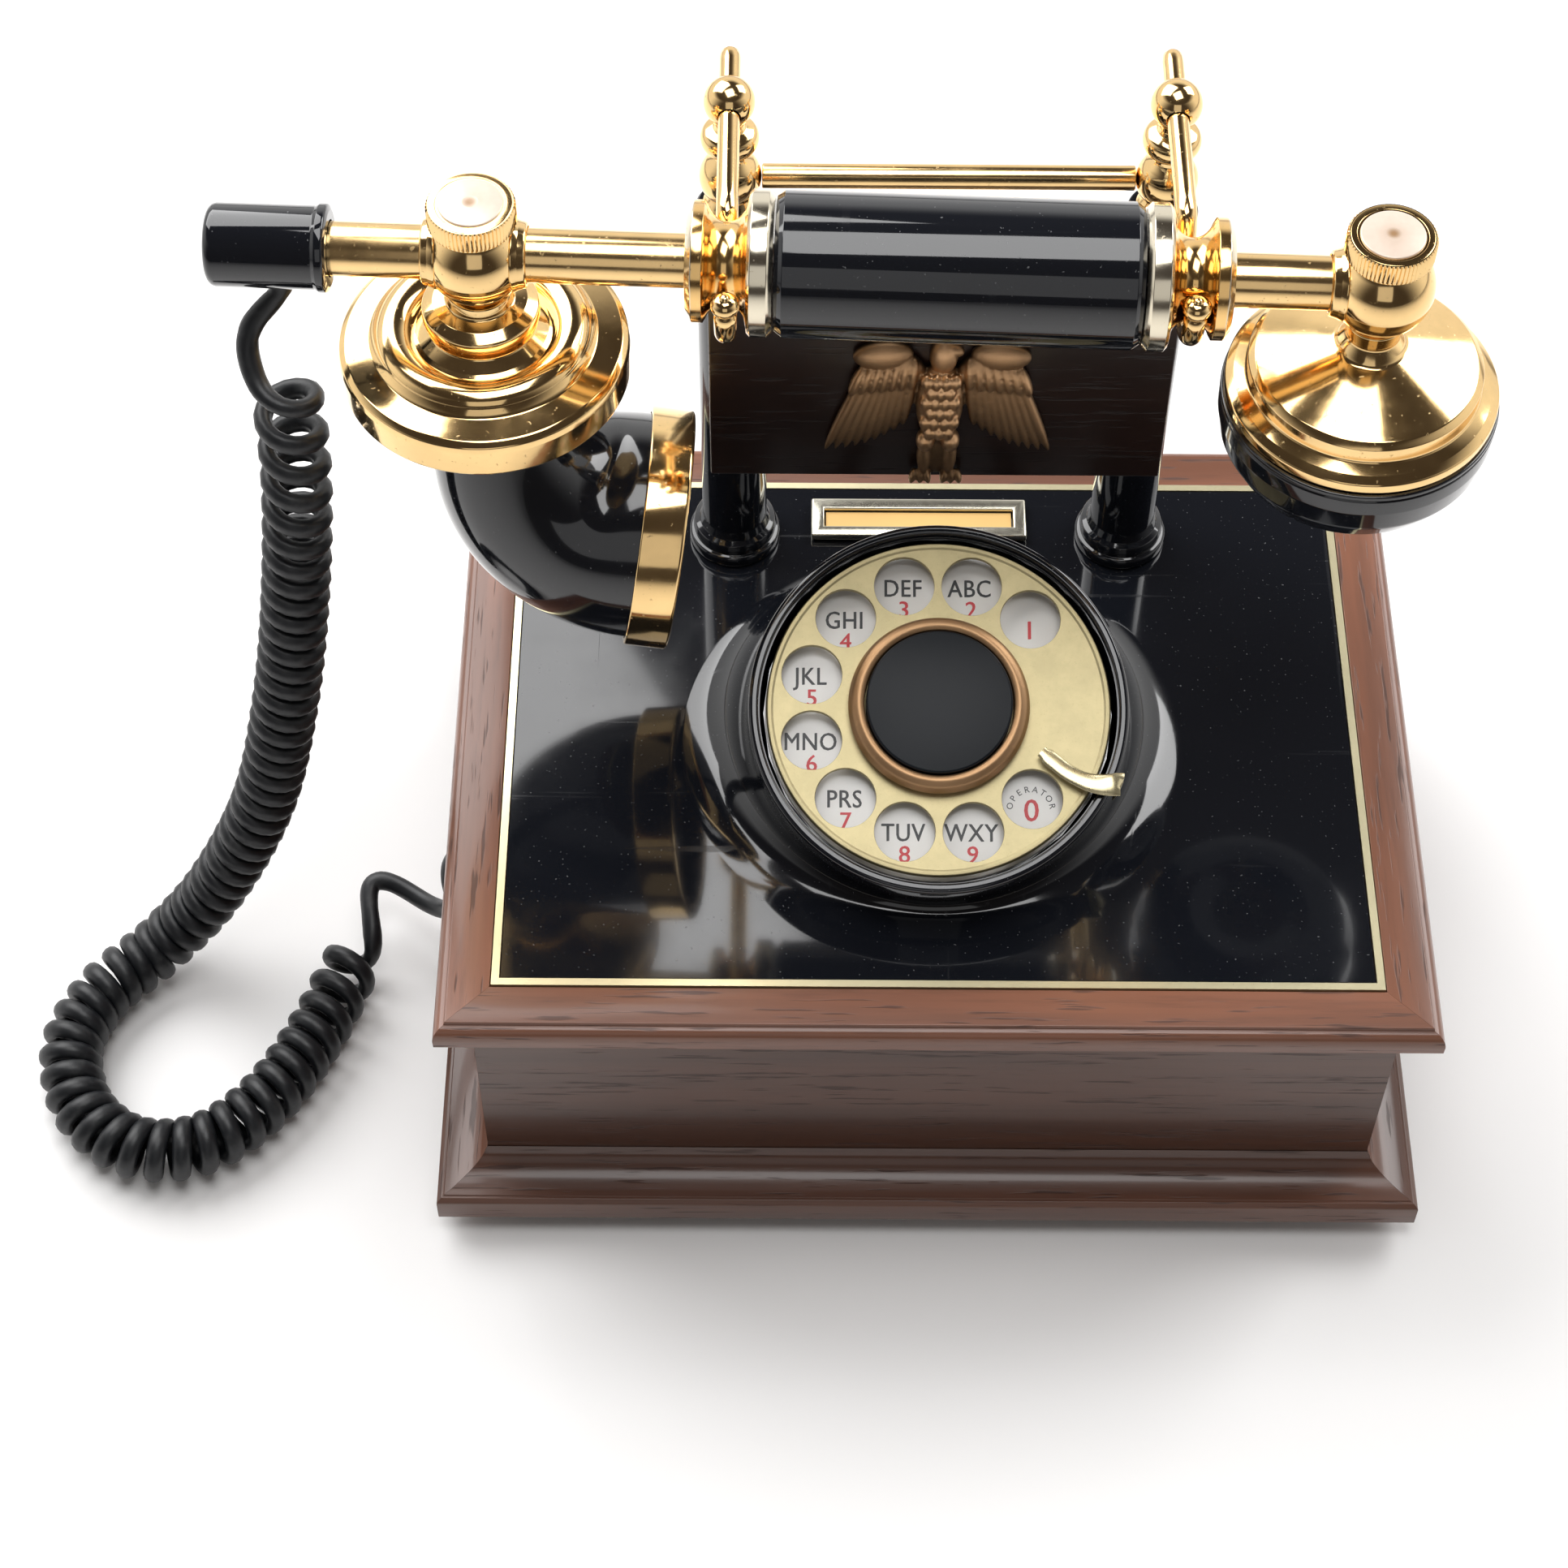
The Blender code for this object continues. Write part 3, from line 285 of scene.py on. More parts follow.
def make_gold(name, base, rough=0.09, pale=None):
    """Polished plate with faint smears and dulled patches; pale marks where the plating has worn."""
    shade = Shading(name, rough, 1.0)
    smear = shade.noise(70, 4, 0.6)
    spots = shade.noise(900, 2, 0.5).band(0.66, 0.74)
    worn = shade.mix(smear.band(0.35, 0.75), tint(base, 0.93), tint(base, 1.06))
    if pale is not None:
        worn = shade.mix(pale(shade), worn, colours().nickel)
    shade.set("Base Color", shade.mix(spots * 0.35, worn, tint(base, 0.45)))
    shade.set("Roughness", rough + smear.band(0.4, 0.8) * 0.07 + spots * 0.2)
    shade.bump(shade.noise(160, 2, 0.4), 0.06, 0.0004)
    return shade.material


def make_black(name, rough=0.07, scratches=0.5):
    """Polished black moulding with hairline scratches and specks of dust."""
    shade = Shading(name, rough, Coat_Weight=0.4, Coat_Roughness=0.04)
    hair_a = shade.noise(300, 2, 0.5, (1, 0.035, 1), (0, 0, 0.5)).band(0.69, 0.72)
    hair_b = shade.noise(340, 2, 0.5, (0.04, 1, 1), (0, 0, -0.35)).band(0.7, 0.73)
    dust = shade.noise(1500, 1, 0.5).band(0.73, 0.79)
    haze = shade.noise(28, 4, 0.6)
    marks = (hair_a + hair_b) * scratches
    shade.set("Base Color", shade.mix(dust * 0.5 + marks * 0.05, colours().black, (0.16, 0.165, 0.17)))
    shade.set("Roughness", rough + haze.band(0.4, 0.75) * 0.07 + marks * 0.22 + dust * 0.3)
    shade.bump(marks + shade.noise(45, 2, 0.4) * 0.5, 0.05, 0.0002)
    return shade.material


def make_wheel_brass():
    """Satin pale brass with fine blotches and grain."""
    shade = Shading("wheel_brass", 0.4, 0.85)
    grain = shade.noise(2600, 2, 0.6)
    blotch = shade.noise(110, 4, 0.6)
    base = colours().wheel
    body = shade.mix(blotch.band(0.3, 0.75), tint(base, 0.86), tint(base, 1.12))
    shade.set("Base Color", shade.mix(grain.band(0.62, 0.75) * 0.3, body, tint(base, 0.5)))
    shade.set("Roughness", 0.38 + blotch * 0.12 + grain * 0.06)
    shade.bump(grain, 0.12, 0.0001)
    return shade.material


def make_bronze(name, rough=0.36):
    """Antique bronze: dark in the hollows, bright where the relief stands forward, partly rubbed wear and
    partly painted highlight.
    """
    shade = Shading(name, rough, 1.0)
    rubbed_and_highlight = shade.attribute("rubbed_and_highlight")
    patch = shade.noise(420, 4, 0.65)
    base = colours().bronze
    # Painted highlight: the stored mask brightens the forward parts, as rubbed wear and as a highlight put
    # into the colour.
    mask = rubbed_and_highlight.band(0.12, 0.75) + patch.band(0.55, 0.75) * 0.1
    shade.set("Base Color", shade.mix(mask, tint(base, 0.09), tint(base, 2.5)))
    shade.set("Roughness", 0.58 - rubbed_and_highlight * 0.3 + patch * 0.08)
    shade.bump(patch, 0.2, 0.0002)
    return shade.material


def make_plain(name, base, rough, metallic=0.0, grain=900.0, depth=0.0001, spread=0.15, **constants):
    """A quiet finish with a fine grain and a little change of tone."""
    shade = Shading(name, rough, metallic, **constants)
    fine = shade.noise(grain, 3, 0.6)
    broad = shade.noise(60, 3, 0.5)
    shade.set("Base Color", shade.mix(broad, tint(base, 1 - spread), tint(base, 1 + spread)))
    shade.set("Roughness", rough + fine * 0.1 - 0.05)
    shade.bump(fine, 0.2, depth)
    return shade.material


def make_pearl():
    """The polished disc let into each nut: pale, with a smoky eye in the middle."""
    shade = Shading("pearl_disc", 0.3, 0.15, Coat_Weight=0.3, Coat_Roughness=0.1)
    eye = shade.attribute("eye")
    cloud = shade.noise(320, 3, 0.6)
    pale = shade.mix(cloud, (0.66, 0.52, 0.42), (0.78, 0.66, 0.56))
    shade.set("Base Color", shade.mix(eye.band(0.1, 0.9), pale, (0.34, 0.2, 0.1)))
    return shade.material


def make_cord_finish():
    """Satin cord, a little greyer where it has rubbed."""
    shade = Shading("cord_satin", 0.38)
    rub = shade.noise(240, 4, 0.6)
    base = colours().cord
    shade.set("Base Color", shade.mix(rub.band(0.5, 0.8), base, (0.026, 0.027, 0.028)))
    shade.set("Roughness", 0.33 + rub * 0.2)
    shade.bump(shade.noise(1300, 2, 0.5), 0.12, 0.00015)
    return shade.material


LOOKS = {}


def pale_ends(shade):
    """Mask of the spools' outer bands, where the plate is thin and silvery."""
    place = shade.node("ShaderNodeTexCoord", out="Object")
    reach = shade.node("ShaderNodeVectorMath", {"operation": "DOT_PRODUCT"}, place,
                       tuple(HANDSET.to_3x3().col[0]), out="Value")
    shift = HANDSET.translation.dot(HANDSET.to_3x3().col[0])
    far = shade.node("ShaderNodeMath", {"operation": "ABSOLUTE"}, reach - shift)
    return (1 - far.band(40.9 * MM, 41.9 * MM)) * 0.85 + far.band(52.2 * MM, 52.7 * MM) * 0.8


def make_looks():
    """All the finishes, once the colours are known."""
    tone = colours()
    LOOKS["wood_x"] = make_wood("wood_lengthways", "X")
    LOOKS["wood_y"] = make_wood("wood_sideways", "Y")
    # Painted shade: the case boards and the plinth are darker tints of the same wood than the crown, partly
    # their own darker wood and partly shade of their upright faces put into the colour.
    LOOKS["case_x"] = make_wood("case_wood_dark_and_shaded_lengthways", "X", 0.4, 0.8)
    LOOKS["case_y"] = make_wood("case_wood_dark_and_shaded_sideways", "Y", 0.4, 0.8)
    LOOKS["foot_x"] = make_wood("foot_wood_dark_and_shaded_lengthways", "X", 0.55)
    LOOKS["foot_y"] = make_wood("foot_wood_dark_and_shaded_sideways", "Y", 0.55)
    LOOKS["panel"] = make_wood("panel_wood", "X", 0.1, 0.3)
    LOOKS["gold"] = make_gold("gold_plate", tone.gold)
    LOOKS["spool"] = make_gold("gold_spool", tone.spool, 0.13, pale_ends)
    LOOKS["tube"] = make_gold("gold_tube", tone.gold, 0.16)
    LOOKS["black"] = make_black("black_moulding")
    LOOKS["grip"] = make_black("black_grip", 0.05, 0.15)
    LOOKS["wheel"] = make_wheel_brass()
    LOOKS["bronze"] = make_bronze("antique_bronze")
    LOOKS["enamel"] = make_plain("white_enamel", tone.enamel, 0.22, 0.0, 500, 0.00002, 0.03)
    LOOKS["letters"] = make_plain("letter_black", (0.012, 0.012, 0.014), 0.4)
    LOOKS["digits"] = make_plain("digit_red", tone.digit, 0.4)
    LOOKS["card"] = make_plain("cream_card", tone.card, 0.6, 0.0, 1600, 0.00005, 0.08)
    LOOKS["nickel"] = make_plain("worn_nickel", tone.nickel, 0.22, 1.0, 700, 0.00001, 0.12)
    LOOKS["stop"] = make_plain("cream_brass_stop", (0.66, 0.58, 0.36), 0.28, 0.9, 700, 0.00001, 0.1)
    LOOKS["inlay"] = make_plain("pale_brass_strip", (0.88, 0.80, 0.52), 0.3, 0.85, 1200, 0.00005, 0.12)
    LOOKS["cap"] = make_plain("matt_black_cap", (0.006, 0.008, 0.011), 0.34, 0.0, 2200, 0.00002, 0.2,
                              Specular_IOR_Level=0.16)
    LOOKS["rubber"] = make_plain("black_rubber", (0.02, 0.02, 0.02), 0.7, 0.0, 1500, 0.0001, 0.2)
    LOOKS["steel"] = make_plain("plain_steel", (0.45, 0.45, 0.45), 0.4, 1.0)
    LOOKS["bell"] = make_plain("bell_brass", (0.7, 0.52, 0.25), 0.25, 1.0)
    LOOKS["grey"] = make_plain("grey_moulding", (0.1, 0.1, 0.105), 0.5)
    LOOKS["pearl"] = make_pearl()
    LOOKS["cord"] = make_cord_finish()


# ---- modelling helpers ---------------------------------------------------------------------------
def clear_selection():
    """Object mode with nothing selected."""
    if bpy.context.mode != "OBJECT":
        bpy.ops.object.mode_set(mode="OBJECT")
    bpy.ops.object.select_all(action="DESELECT")


def choose(item):
    """Make one object the only selected and active one."""
    clear_selection()
    item.select_set(True)
    bpy.context.view_layer.objects.active = item


def begin(name, add, **settings):
    """Add a primitive, name it and go into edit mode with all of it selected."""
    clear_selection()
    add(**settings)
    item = bpy.context.object
    item.name = name
    item.data.name = name
    bpy.ops.object.mode_set(mode="EDIT")
    bpy.ops.mesh.select_all(action="SELECT")
    return item


def tidy_mesh():
    """Merge doubles and point the faces outwards, in edit mode."""
    bpy.ops.mesh.select_all(action="SELECT")
    bpy.ops.mesh.remove_doubles(threshold=2e-6)
    bpy.ops.mesh.normals_make_consistent(inside=False)


def done(item, look, body, place=Matrix.Identity(4), replaced=(), smooth=35.0):
    """Bake the place into the mesh, smooth it, give it its finish and let it ride."""
    clear_selection()
    item.data.transform(place @ item.matrix_basis)
    item.matrix_basis = Matrix.Identity(4)
    item.data.materials.clear()
    item.data.materials.append(LOOKS[look])
    choose(item)
    bpy.ops.object.shade_smooth_by_angle(angle=math.radians(smooth))
    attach(item, body)
    if replaced:
        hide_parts(*replaced)
    return item


def modify(item, kind, **settings):
    """Add a modifier and apply it."""
    choose(item)
    step = item.modifiers.new(kind.lower(), kind)
    for key, value in settings.items():
        setattr(step, key, value)
    bpy.ops.object.modifier_apply(modifier=step.name)


def cut(item, tool, operation="DIFFERENCE"):
    """Cut or join with another object, which is then removed."""
    modify(item, "BOOLEAN", operation=operation, object=tool, solver="EXACT")
    bpy.data.objects.remove(tool)


def soften(item, width):
    """Break the sharp edges."""
    modify(item, "BEVEL", width=width, segments=3, limit_method="ANGLE",
           angle_limit=math.radians(40), harden_normals=False)


def join(parts):
    """Join objects into the first of them."""
    clear_selection()
    for part in parts:
        part.select_set(True)
    bpy.context.view_layer.objects.active = parts[0]
    bpy.ops.object.join()
    return bpy.context.object


def add_object(name, data):
    """A new object in the scene."""
    item = bpy.data.objects.new(name, data)
    bpy.context.scene.collection.objects.link(item)
    return item


def rounded(points, steps=5):
    """Turn each corner that has a third value, its radius, into an arc. Millimetres."""
    found = []
    for i, corner in enumerate(points):
        if len(corner) == 2:
            found.append(corner)
            continue
        here = Vector(corner[:2])
        back = Vector(points[i - 1][:2]) - here
        ahead = Vector(points[(i + 1) % len(points)][:2]) - here
        half = back.angle(ahead) / 2
        reach = min(corner[2] / math.tan(half), 0.49 * min(back.length, ahead.length))
        centre = here + (back.normalized() + ahead.normalized()).normalized() * (reach / math.cos(half))
        first = here + back.normalized() * reach - centre
        last = here + ahead.normalized() * reach - centre
        swing = first.angle_signed(last)
        for k in range(steps + 1):
            arm = first.copy()
            arm.rotate(Matrix.Rotation(-swing * k / steps, 2))
            found.append(tuple(centre + arm))
    return found


def arc(cx, cy, radius, start, end, steps=10, squash=1.0):
    """Points on an arc, angles in degrees."""
    turns = [math.radians(start + (end - start) * k / steps) for k in range(steps + 1)]
    return [(cx + radius * math.cos(a), cy + radius * squash * math.sin(a)) for a in turns]


def draw(name, points):
    """Draw a line in the XZ plane by extruding one vertex from point to point. Millimetres."""
    item = begin(name, bpy.ops.mesh.primitive_plane_add, size=2 * MM)
    bpy.ops.mesh.merge(type="CENTER")
    bpy.ops.transform.translate(value=(points[0][0] * MM, 0, points[0][1] * MM))
    for here, there in zip(points, points[1:]):
        step = ((there[0] - here[0]) * MM, 0, (there[1] - here[1]) * MM)
        bpy.ops.mesh.extrude_vertices_move(TRANSFORM_OT_translate={"value": step})
    return item


def turn(name, points, sides=None):
    """Turn a profile of (radius, height) round Z. One that leaves the axis closes on itself."""
    outline = rounded(points)
    if outline[0][0] > 1e-6:
        outline = outline + [outline[0]]
    item = draw(name, outline)
    bpy.ops.mesh.select_all(action="SELECT")
    bpy.ops.mesh.spin(steps=sides or sizes().sides, angle=2 * math.pi, center=(0, 0, 0), axis=(0, 0, 1))
    tidy_mesh()
    bpy.ops.object.mode_set(mode="OBJECT")
    return item


def bore(item, radius, low, high, sides, place):
    """Cut a round hole, made along Z and then placed. Millimetres."""
    tool = turn("hole", [(0, low), (radius, low), (radius, high), (0, high)], sides)
    tool.data.transform(place)
    cut(item, tool)


def around(reach, angle):
    """Shift away from the Z axis by a reach in millimetres, at an angle in radians."""
    return Matrix.Translation((reach * math.cos(angle) * MM, reach * math.sin(angle) * MM, 0))


def pierce(item, rings, radius, low, high, sides):
    """Bore circles of small holes: how many, and how far from the middle. Millimetres."""
    for count, reach in rings:
        for k in range(count):
            bore(item, radius, low, high, sides, around(reach, 2 * math.pi * k / count))


def bar(name, profile, width, depth, inset=0.03):
    """A mitred moulding along the front of a rectangle: (margin, height) points. Millimetres."""
    outline = rounded(profile)
    item = draw(name, [(-margin, level) for margin, level in outline])
    bpy.ops.mesh.select_all(action="SELECT")
    bpy.ops.mesh.edge_face_add()
    reach = width / 2 + 40
    bpy.ops.mesh.extrude_region_move(TRANSFORM_OT_translate={"value": (0, 2 * reach * MM, 0)})
    bpy.ops.mesh.select_all(action="SELECT")
    bpy.ops.transform.translate(value=(0, -reach * MM, 0))
    bpy.ops.object.mode_set(mode="OBJECT")
    item.data.transform(Matrix.Translation((0, -depth / 2 * MM, 0)) @ Matrix.Rotation(math.pi / 2, 4, "Z"))
    choose(item)
    bpy.ops.object.mode_set(mode="EDIT")
    for side in (-1, 1):
        bpy.ops.mesh.select_all(action="SELECT")
        corner = ((width / 2 - inset) * side * MM, -depth / 2 * MM, 0)
        bpy.ops.mesh.bisect(plane_co=corner, plane_no=(side, 1, 0), use_fill=True, clear_outer=True)
    tidy_mesh()
    bpy.ops.object.mode_set(mode="OBJECT")
    return item


def skin(name, frames, sides, caps=True):
    """Extrude a circle through a list of frames, each a matrix that places the unit circle."""
    item = begin(name, bpy.ops.mesh.primitive_circle_add, vertices=sides, radius=1.0)
    place_ring(item, frames[0])
    for here, there in zip(frames, frames[1:]):
        bpy.ops.mesh.extrude_edges_move()
        place_ring(item, there @ here.inverted())
    if caps:
        bpy.ops.mesh.edge_face_add()
        bpy.ops.mesh.select_all(action="DESELECT")
        bpy.ops.mesh.select_non_manifold(extend=False)
        bpy.ops.mesh.edge_face_add()
    tidy_mesh()
    bpy.ops.object.mode_set(mode="OBJECT")
    return item


def place_ring(item, matrix):
    """Move the selected vertices by a matrix."""
    edit = bmesh.from_edit_mesh(item.data)
    bmesh.ops.transform(edit, matrix=matrix, verts=[v for v in edit.verts if v.select])
    bmesh.update_edit_mesh(item.data)


def block(name, low, high):
    """A box between two corners. Metres."""
    size = Vector(high) - Vector(low)
    item = begin(name, bpy.ops.mesh.primitive_cube_add, size=1.0)
    bpy.ops.transform.resize(value=tuple(size))
    bpy.ops.transform.translate(value=tuple((Vector(high) + Vector(low)) / 2))
    bpy.ops.object.mode_set(mode="OBJECT")
    return item


def smooth_curve(points, spacing):
    """Points about `spacing` apart on a smooth curve through the given points."""
    route = [Vector(p) for p in points]
    route = [2 * route[0] - route[1]] + route + [2 * route[-1] - route[-2]]
    found = []
    for a, b, c, d in zip(route, route[1:], route[2:], route[3:]):
        steps = max(1, round((c - b).length / spacing))
        for i in range(steps):
            t = i / steps
            found.append(0.5 * ((2 * b) + (c - a) * t + (2 * a - 5 * b + 4 * c - d) * t ** 2
                                + (3 * b - a - 3 * c + d) * t ** 3))
    found.append(route[-2])
    return found


def axes(side, other, along):
    """Rotation whose columns are three unit vectors."""
    return Matrix((side, other, along)).transposed().to_4x4()


def path_frames(points, radii):
    """Frames square to a path, carried along without twist."""
    side = Vector((1, 0, 0.01))
    frames = []
    for i, centre in enumerate(points):
        along = (points[min(i + 1, len(points) - 1)] - points[max(i - 1, 0)]).normalized()
        side = (side - along * side.dot(along)).normalized()
        other = along.cross(side)
        scale = Matrix.Diagonal((radii[i], radii[i], radii[i], 1))
        frames.append(Matrix.Translation(centre) @ axes(side, other, along) @ scale)
    return frames


def along_x(flip=False):
    """Turn a piece made round Z so that it runs along X."""
    return Matrix.Rotation(-math.pi / 2 if flip else math.pi / 2, 4, "Y")


def store(item, name, values):
    """Keep a number for each vertex, for the finish to read."""
    layer = item.data.attributes.new(name, "FLOAT", "POINT")
    layer.data.foreach_set("value", values)


# ---- the pieces ----------------------------------------------------------------------------------
class PHONE_OT_case(bpy.types.Operator):
    """Wooden case: mitred top moulding, boards and plinth"""
    bl_idname = "phone.case"
    bl_label = "Case"

    def execute(self, context):
        top = PLATE_TOP / MM
        low = FRAME_LOW / MM
        crown = [(0, top - 0.25, 0.2), (9.3, top - 0.05, 0.3), (9.5, top - 0.9, 0.1), (10.1, top - 0.95)]
        crown += arc(9.9, top - 4.1, 2.1, 76, -10, 8, 1.5)
        crown += [(11.95, low + 2.0, 0.7), (10.5, low, 0.5), (-5.9, low), (-5.9, top - 3.4), (0, top - 3.4)]
        wall = 4.4
        boards = [(wall, 8.6), (wall, low - 0.35), (-4.5, low - 0.35), (-4.5, 8.6)]
        foot = 6.05
        plinth = [(wall + 0.15, foot), (16.2, foot, 0.5), (16.2, 12.9, 0.8), (15.1, 13.7, 0.2), (14.6, 13.7)]
        plinth += arc(14.4, 19.2, 9.4, 270, 188, 12, 0.56) + [(wall + 0.15, 19.5)]
        sides = (("front", 0, "x"), ("right", 1, "y"), ("back", 2, "x"), ("left", 3, "y"))
        for side, quarter, grain in sides:
            width, depth = (PLATE_W, PLATE_D) if grain == "x" else (PLATE_D, PLATE_W)
            place = BASE @ Matrix.Rotation(quarter * math.pi / 2, 4, "Z")
            # Painted shade: the boards and plinth take the darker case and foot woods, partly darker wood and
            # partly shade put into the colour.
            for name, profile, look, node in (("crown", crown, "wood_", ("frame_" + side,)),
                                              ("board", boards, "case_", ("case_walls",)),
                                              ("plinth", plinth, "foot_", ("plinth",))):
                item = bar(f"{name}_{side}", profile, width / MM, depth / MM)
                done(item, look + grain, "base", place, node)
        return {"FINISHED"}


class PHONE_OT_top(bpy.types.Operator):
    """Black top plate with the dial's flared housing and the card holder"""
    bl_idname = "phone.top"
    bl_label = "Top plate"

    def execute(self, context):
        low, high = (Vector(corner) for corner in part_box("top_plate"))
        plate = block("top_plate_moulding", low, (high.x, high.y, PLATE_TOP))
        normal = DIAL.to_3x3().col[2]
        foot_r, neck_r, bezel_r, bore_r = 57.5, 40.8, 42.0, 39.4
        drop = (DIAL.translation.z - PLATE_TOP) / normal.z
        foot = DIAL.translation - normal * drop
        neck = DIAL.translation - normal * 6.5 * MM
        rings = [self.ring(foot - Vector((0, 0, 1.4 * MM)), foot_r, Vector((0, 0, 1)))]
        steps = 22
        for i in range(steps + 1):
            t = i / steps
            rise = t ** 1.75
            close = 1 - (1 - t) ** 1.9
            centre = foot.lerp(neck, rise)
            facing = Vector((0, 0, 1)).lerp(normal, min(1.0, rise * 1.35)).normalized()
            rings.append(self.ring(centre, foot_r + (neck_r - foot_r) * close, facing))
        rim = rounded([(neck_r, -6.5), (neck_r, -5.6, 0.3), (bezel_r, -5.0, 0.7), (bezel_r, 1.1, 1.2),
                       (bore_r + 0.3, 1.1, 0.6), (bore_r + 0.3, -0.4)], 6)
        for radius, height in rim[1:]:
            rings.append(self.ring(DIAL.translation + normal * height * MM, radius, normal))
        housing = skin("dial_housing", rings, 128)
        cut(plate, housing, "UNION")
        bore(plate, bore_r, -70, 20, 128, DIAL)
        for x in (-PILLAR_X, PILLAR_X):
            bore(plate, 3.4, 70, 90, 32, Matrix.Translation((BASE_X + x, PILLAR_Y, 0)))
        item = done(plate, "black", "base", replaced=("top_plate", "dial_housing"), smooth=32)
        modify(item, "WEIGHTED_NORMAL", keep_sharp=True, weight=80)
        low, high = (Vector(corner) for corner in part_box("card_frame"))
        holder = block("card_holder", low, high)
        rim = Vector((3.1 * MM, 3.1 * MM, -MM))
        window = block("window", low + rim, high - rim)
        cut(holder, window)
        soften(holder, 0.5 * MM)
        done(holder, "nickel", "base", replaced=("card_frame",))
        return {"FINISHED"}

    def ring(self, centre, radius, facing):
        """Place of one circle of the flare. The radius is in millimetres."""
        side = Vector((1, 0, 0))
        turned = axes(side, facing.cross(side), facing)
        return Matrix.Translation(centre) @ turned @ Matrix.Diagonal((radius * MM, radius * MM, MM, 1))


class PHONE_OT_dial(bpy.types.Operator):
    """Finger wheel, number plate with its lettering, finger stop and centre"""
    bl_idname = "phone.dial"
    bl_label = "Dial"
    letters = ("", "ABC", "DEF", "GHI", "JKL", "MNO", "PRS", "TUV", "WXY", "")
    digits = "1234567890"
    circle = 28.9
    first_hole = 45
    hole_step = 30
    bold_over = 2

    def execute(self, context):
        profile = [(3.4, -1.6), (37.6, -1.6, 0.3), (38.0, -0.9, 0.3), (37.7, -0.05, 0.3), (36.9, 0.0, 0.3),
                   (36.4, -0.2, 0.3), (3.4, -0.2)]
        wheel = turn("finger_wheel_disc", profile, 144)
        for k in range(len(self.digits)):
            bore(wheel, 6.7, -5, 5, 48, around(self.circle, self.bearing(k)))
        soften(wheel, 0.35 * MM)
        item = done(wheel, "wheel", "dial", DIAL, ("finger_wheel",), 30)
        modify(item, "WEIGHTED_NORMAL", keep_sharp=True, weight=100)
        plate = turn("number_disc", [(5.2, -5.3), (38.2, -5.3), (38.2, -4.5, 0.2), (5.2, -4.5)], 128)
        done(plate, "enamel", "base", DIAL, ("number_plate",))
        self.write()
        ring = turn("centre_ring", [(16.4, 0.3), (19.5, 0.3, 0.5), (20.0, 2.2, 1.4), (19.2, 4.4, 1.6),
                                    (17.6, 5.3, 1.2), (16.4, 4.6, 0.4)], 128)
        store(ring, "rubbed_and_highlight", [0.5 for v in ring.data.vertices])
        done(ring, "bronze", "dial", DIAL, ("dial_ring",))
        cap = turn("centre_cap", [(0, 0.4), (16.1, 0.4), (16.1, 5.5, 0.5), (0, 5.6)], 128)
        done(cap, "cap", "dial", DIAL, ("dial_cap",))
        self.make_stop()
        return {"FINISHED"}

    def bearing(self, k):
        """Direction of one finger hole from the middle, in radians."""
        return math.radians(self.first_hole + self.hole_step * k)

    def write(self):
        """Black letters and red digits under the holes."""
        black = []
        red = []
        height = sizes().letter / MM
        for k, (word, digit) in enumerate(zip(self.letters, self.digits)):
            x = self.circle * math.cos(self.bearing(k))
            y = self.circle * math.sin(self.bearing(k))
            if word:
                black.append(self.text(word, height, x - 0.3, y + 0.5, 0.0, 0.86))
                red.append(self.text(digit, height * 0.95, x, y - 4.4))
            elif digit == "1":
                red.append(self.text(digit, height * 1.05, x, y - 1.6))
            else:
                red.append(self.text(digit, height * 1.25, x, y - 1.9))
                black += self.arched("OPERATOR", x, y - 1.6, 4.7)
        for name, parts, look in (("dial_letters", black, "letters"), ("dial_digits", red, "digits")):
            item = join(parts)
            item.name = name
            done(item, look, "base", DIAL @ Matrix.Translation((0, 0, -4.48 * MM)))

    def text(self, word, size, x, y, turned=0.0, narrow=1.0):
        """One word as a thin mesh, centred on a point of the number plate."""
        clear_selection()
        bpy.ops.object.text_add()
        item = bpy.context.object
        item.data.body = word
        item.data.align_x = "CENTER"
        item.data.align_y = "CENTER"
        item.data.size = size * 1.32 * MM
        item.data.space_character = 1.06
        item.data.resolution_u = 3
        item.data.extrude = 0.03 * MM
        bpy.ops.object.convert(target="MESH")
        item = bpy.context.object
        item.data.transform(Matrix.Translation((x * MM, y * MM, 0)) @ Matrix.Rotation(turned, 4, "Z")
                            @ Matrix.Diagonal((narrow, 1, 1, 1)))
        if size > self.bold_over:
            second = item.copy()
            second.data = item.data.copy()
            bpy.context.scene.collection.objects.link(second)
            second.data.transform(Matrix.Translation((0.13 * MM, 0.05 * MM, 0.01 * MM)))
            item = join([item, second])
        return item

    def arched(self, word, x, y, radius):
        """Small letters on an arc over the last digit."""
        parts = []
        for k, letter in enumerate(word):
            angle = math.radians(78 - 156 * k / (len(word) - 1))
            parts.append(self.text(letter, 1.5, x + radius * math.sin(-angle),
                                   y + radius * math.cos(angle), angle))
        return parts

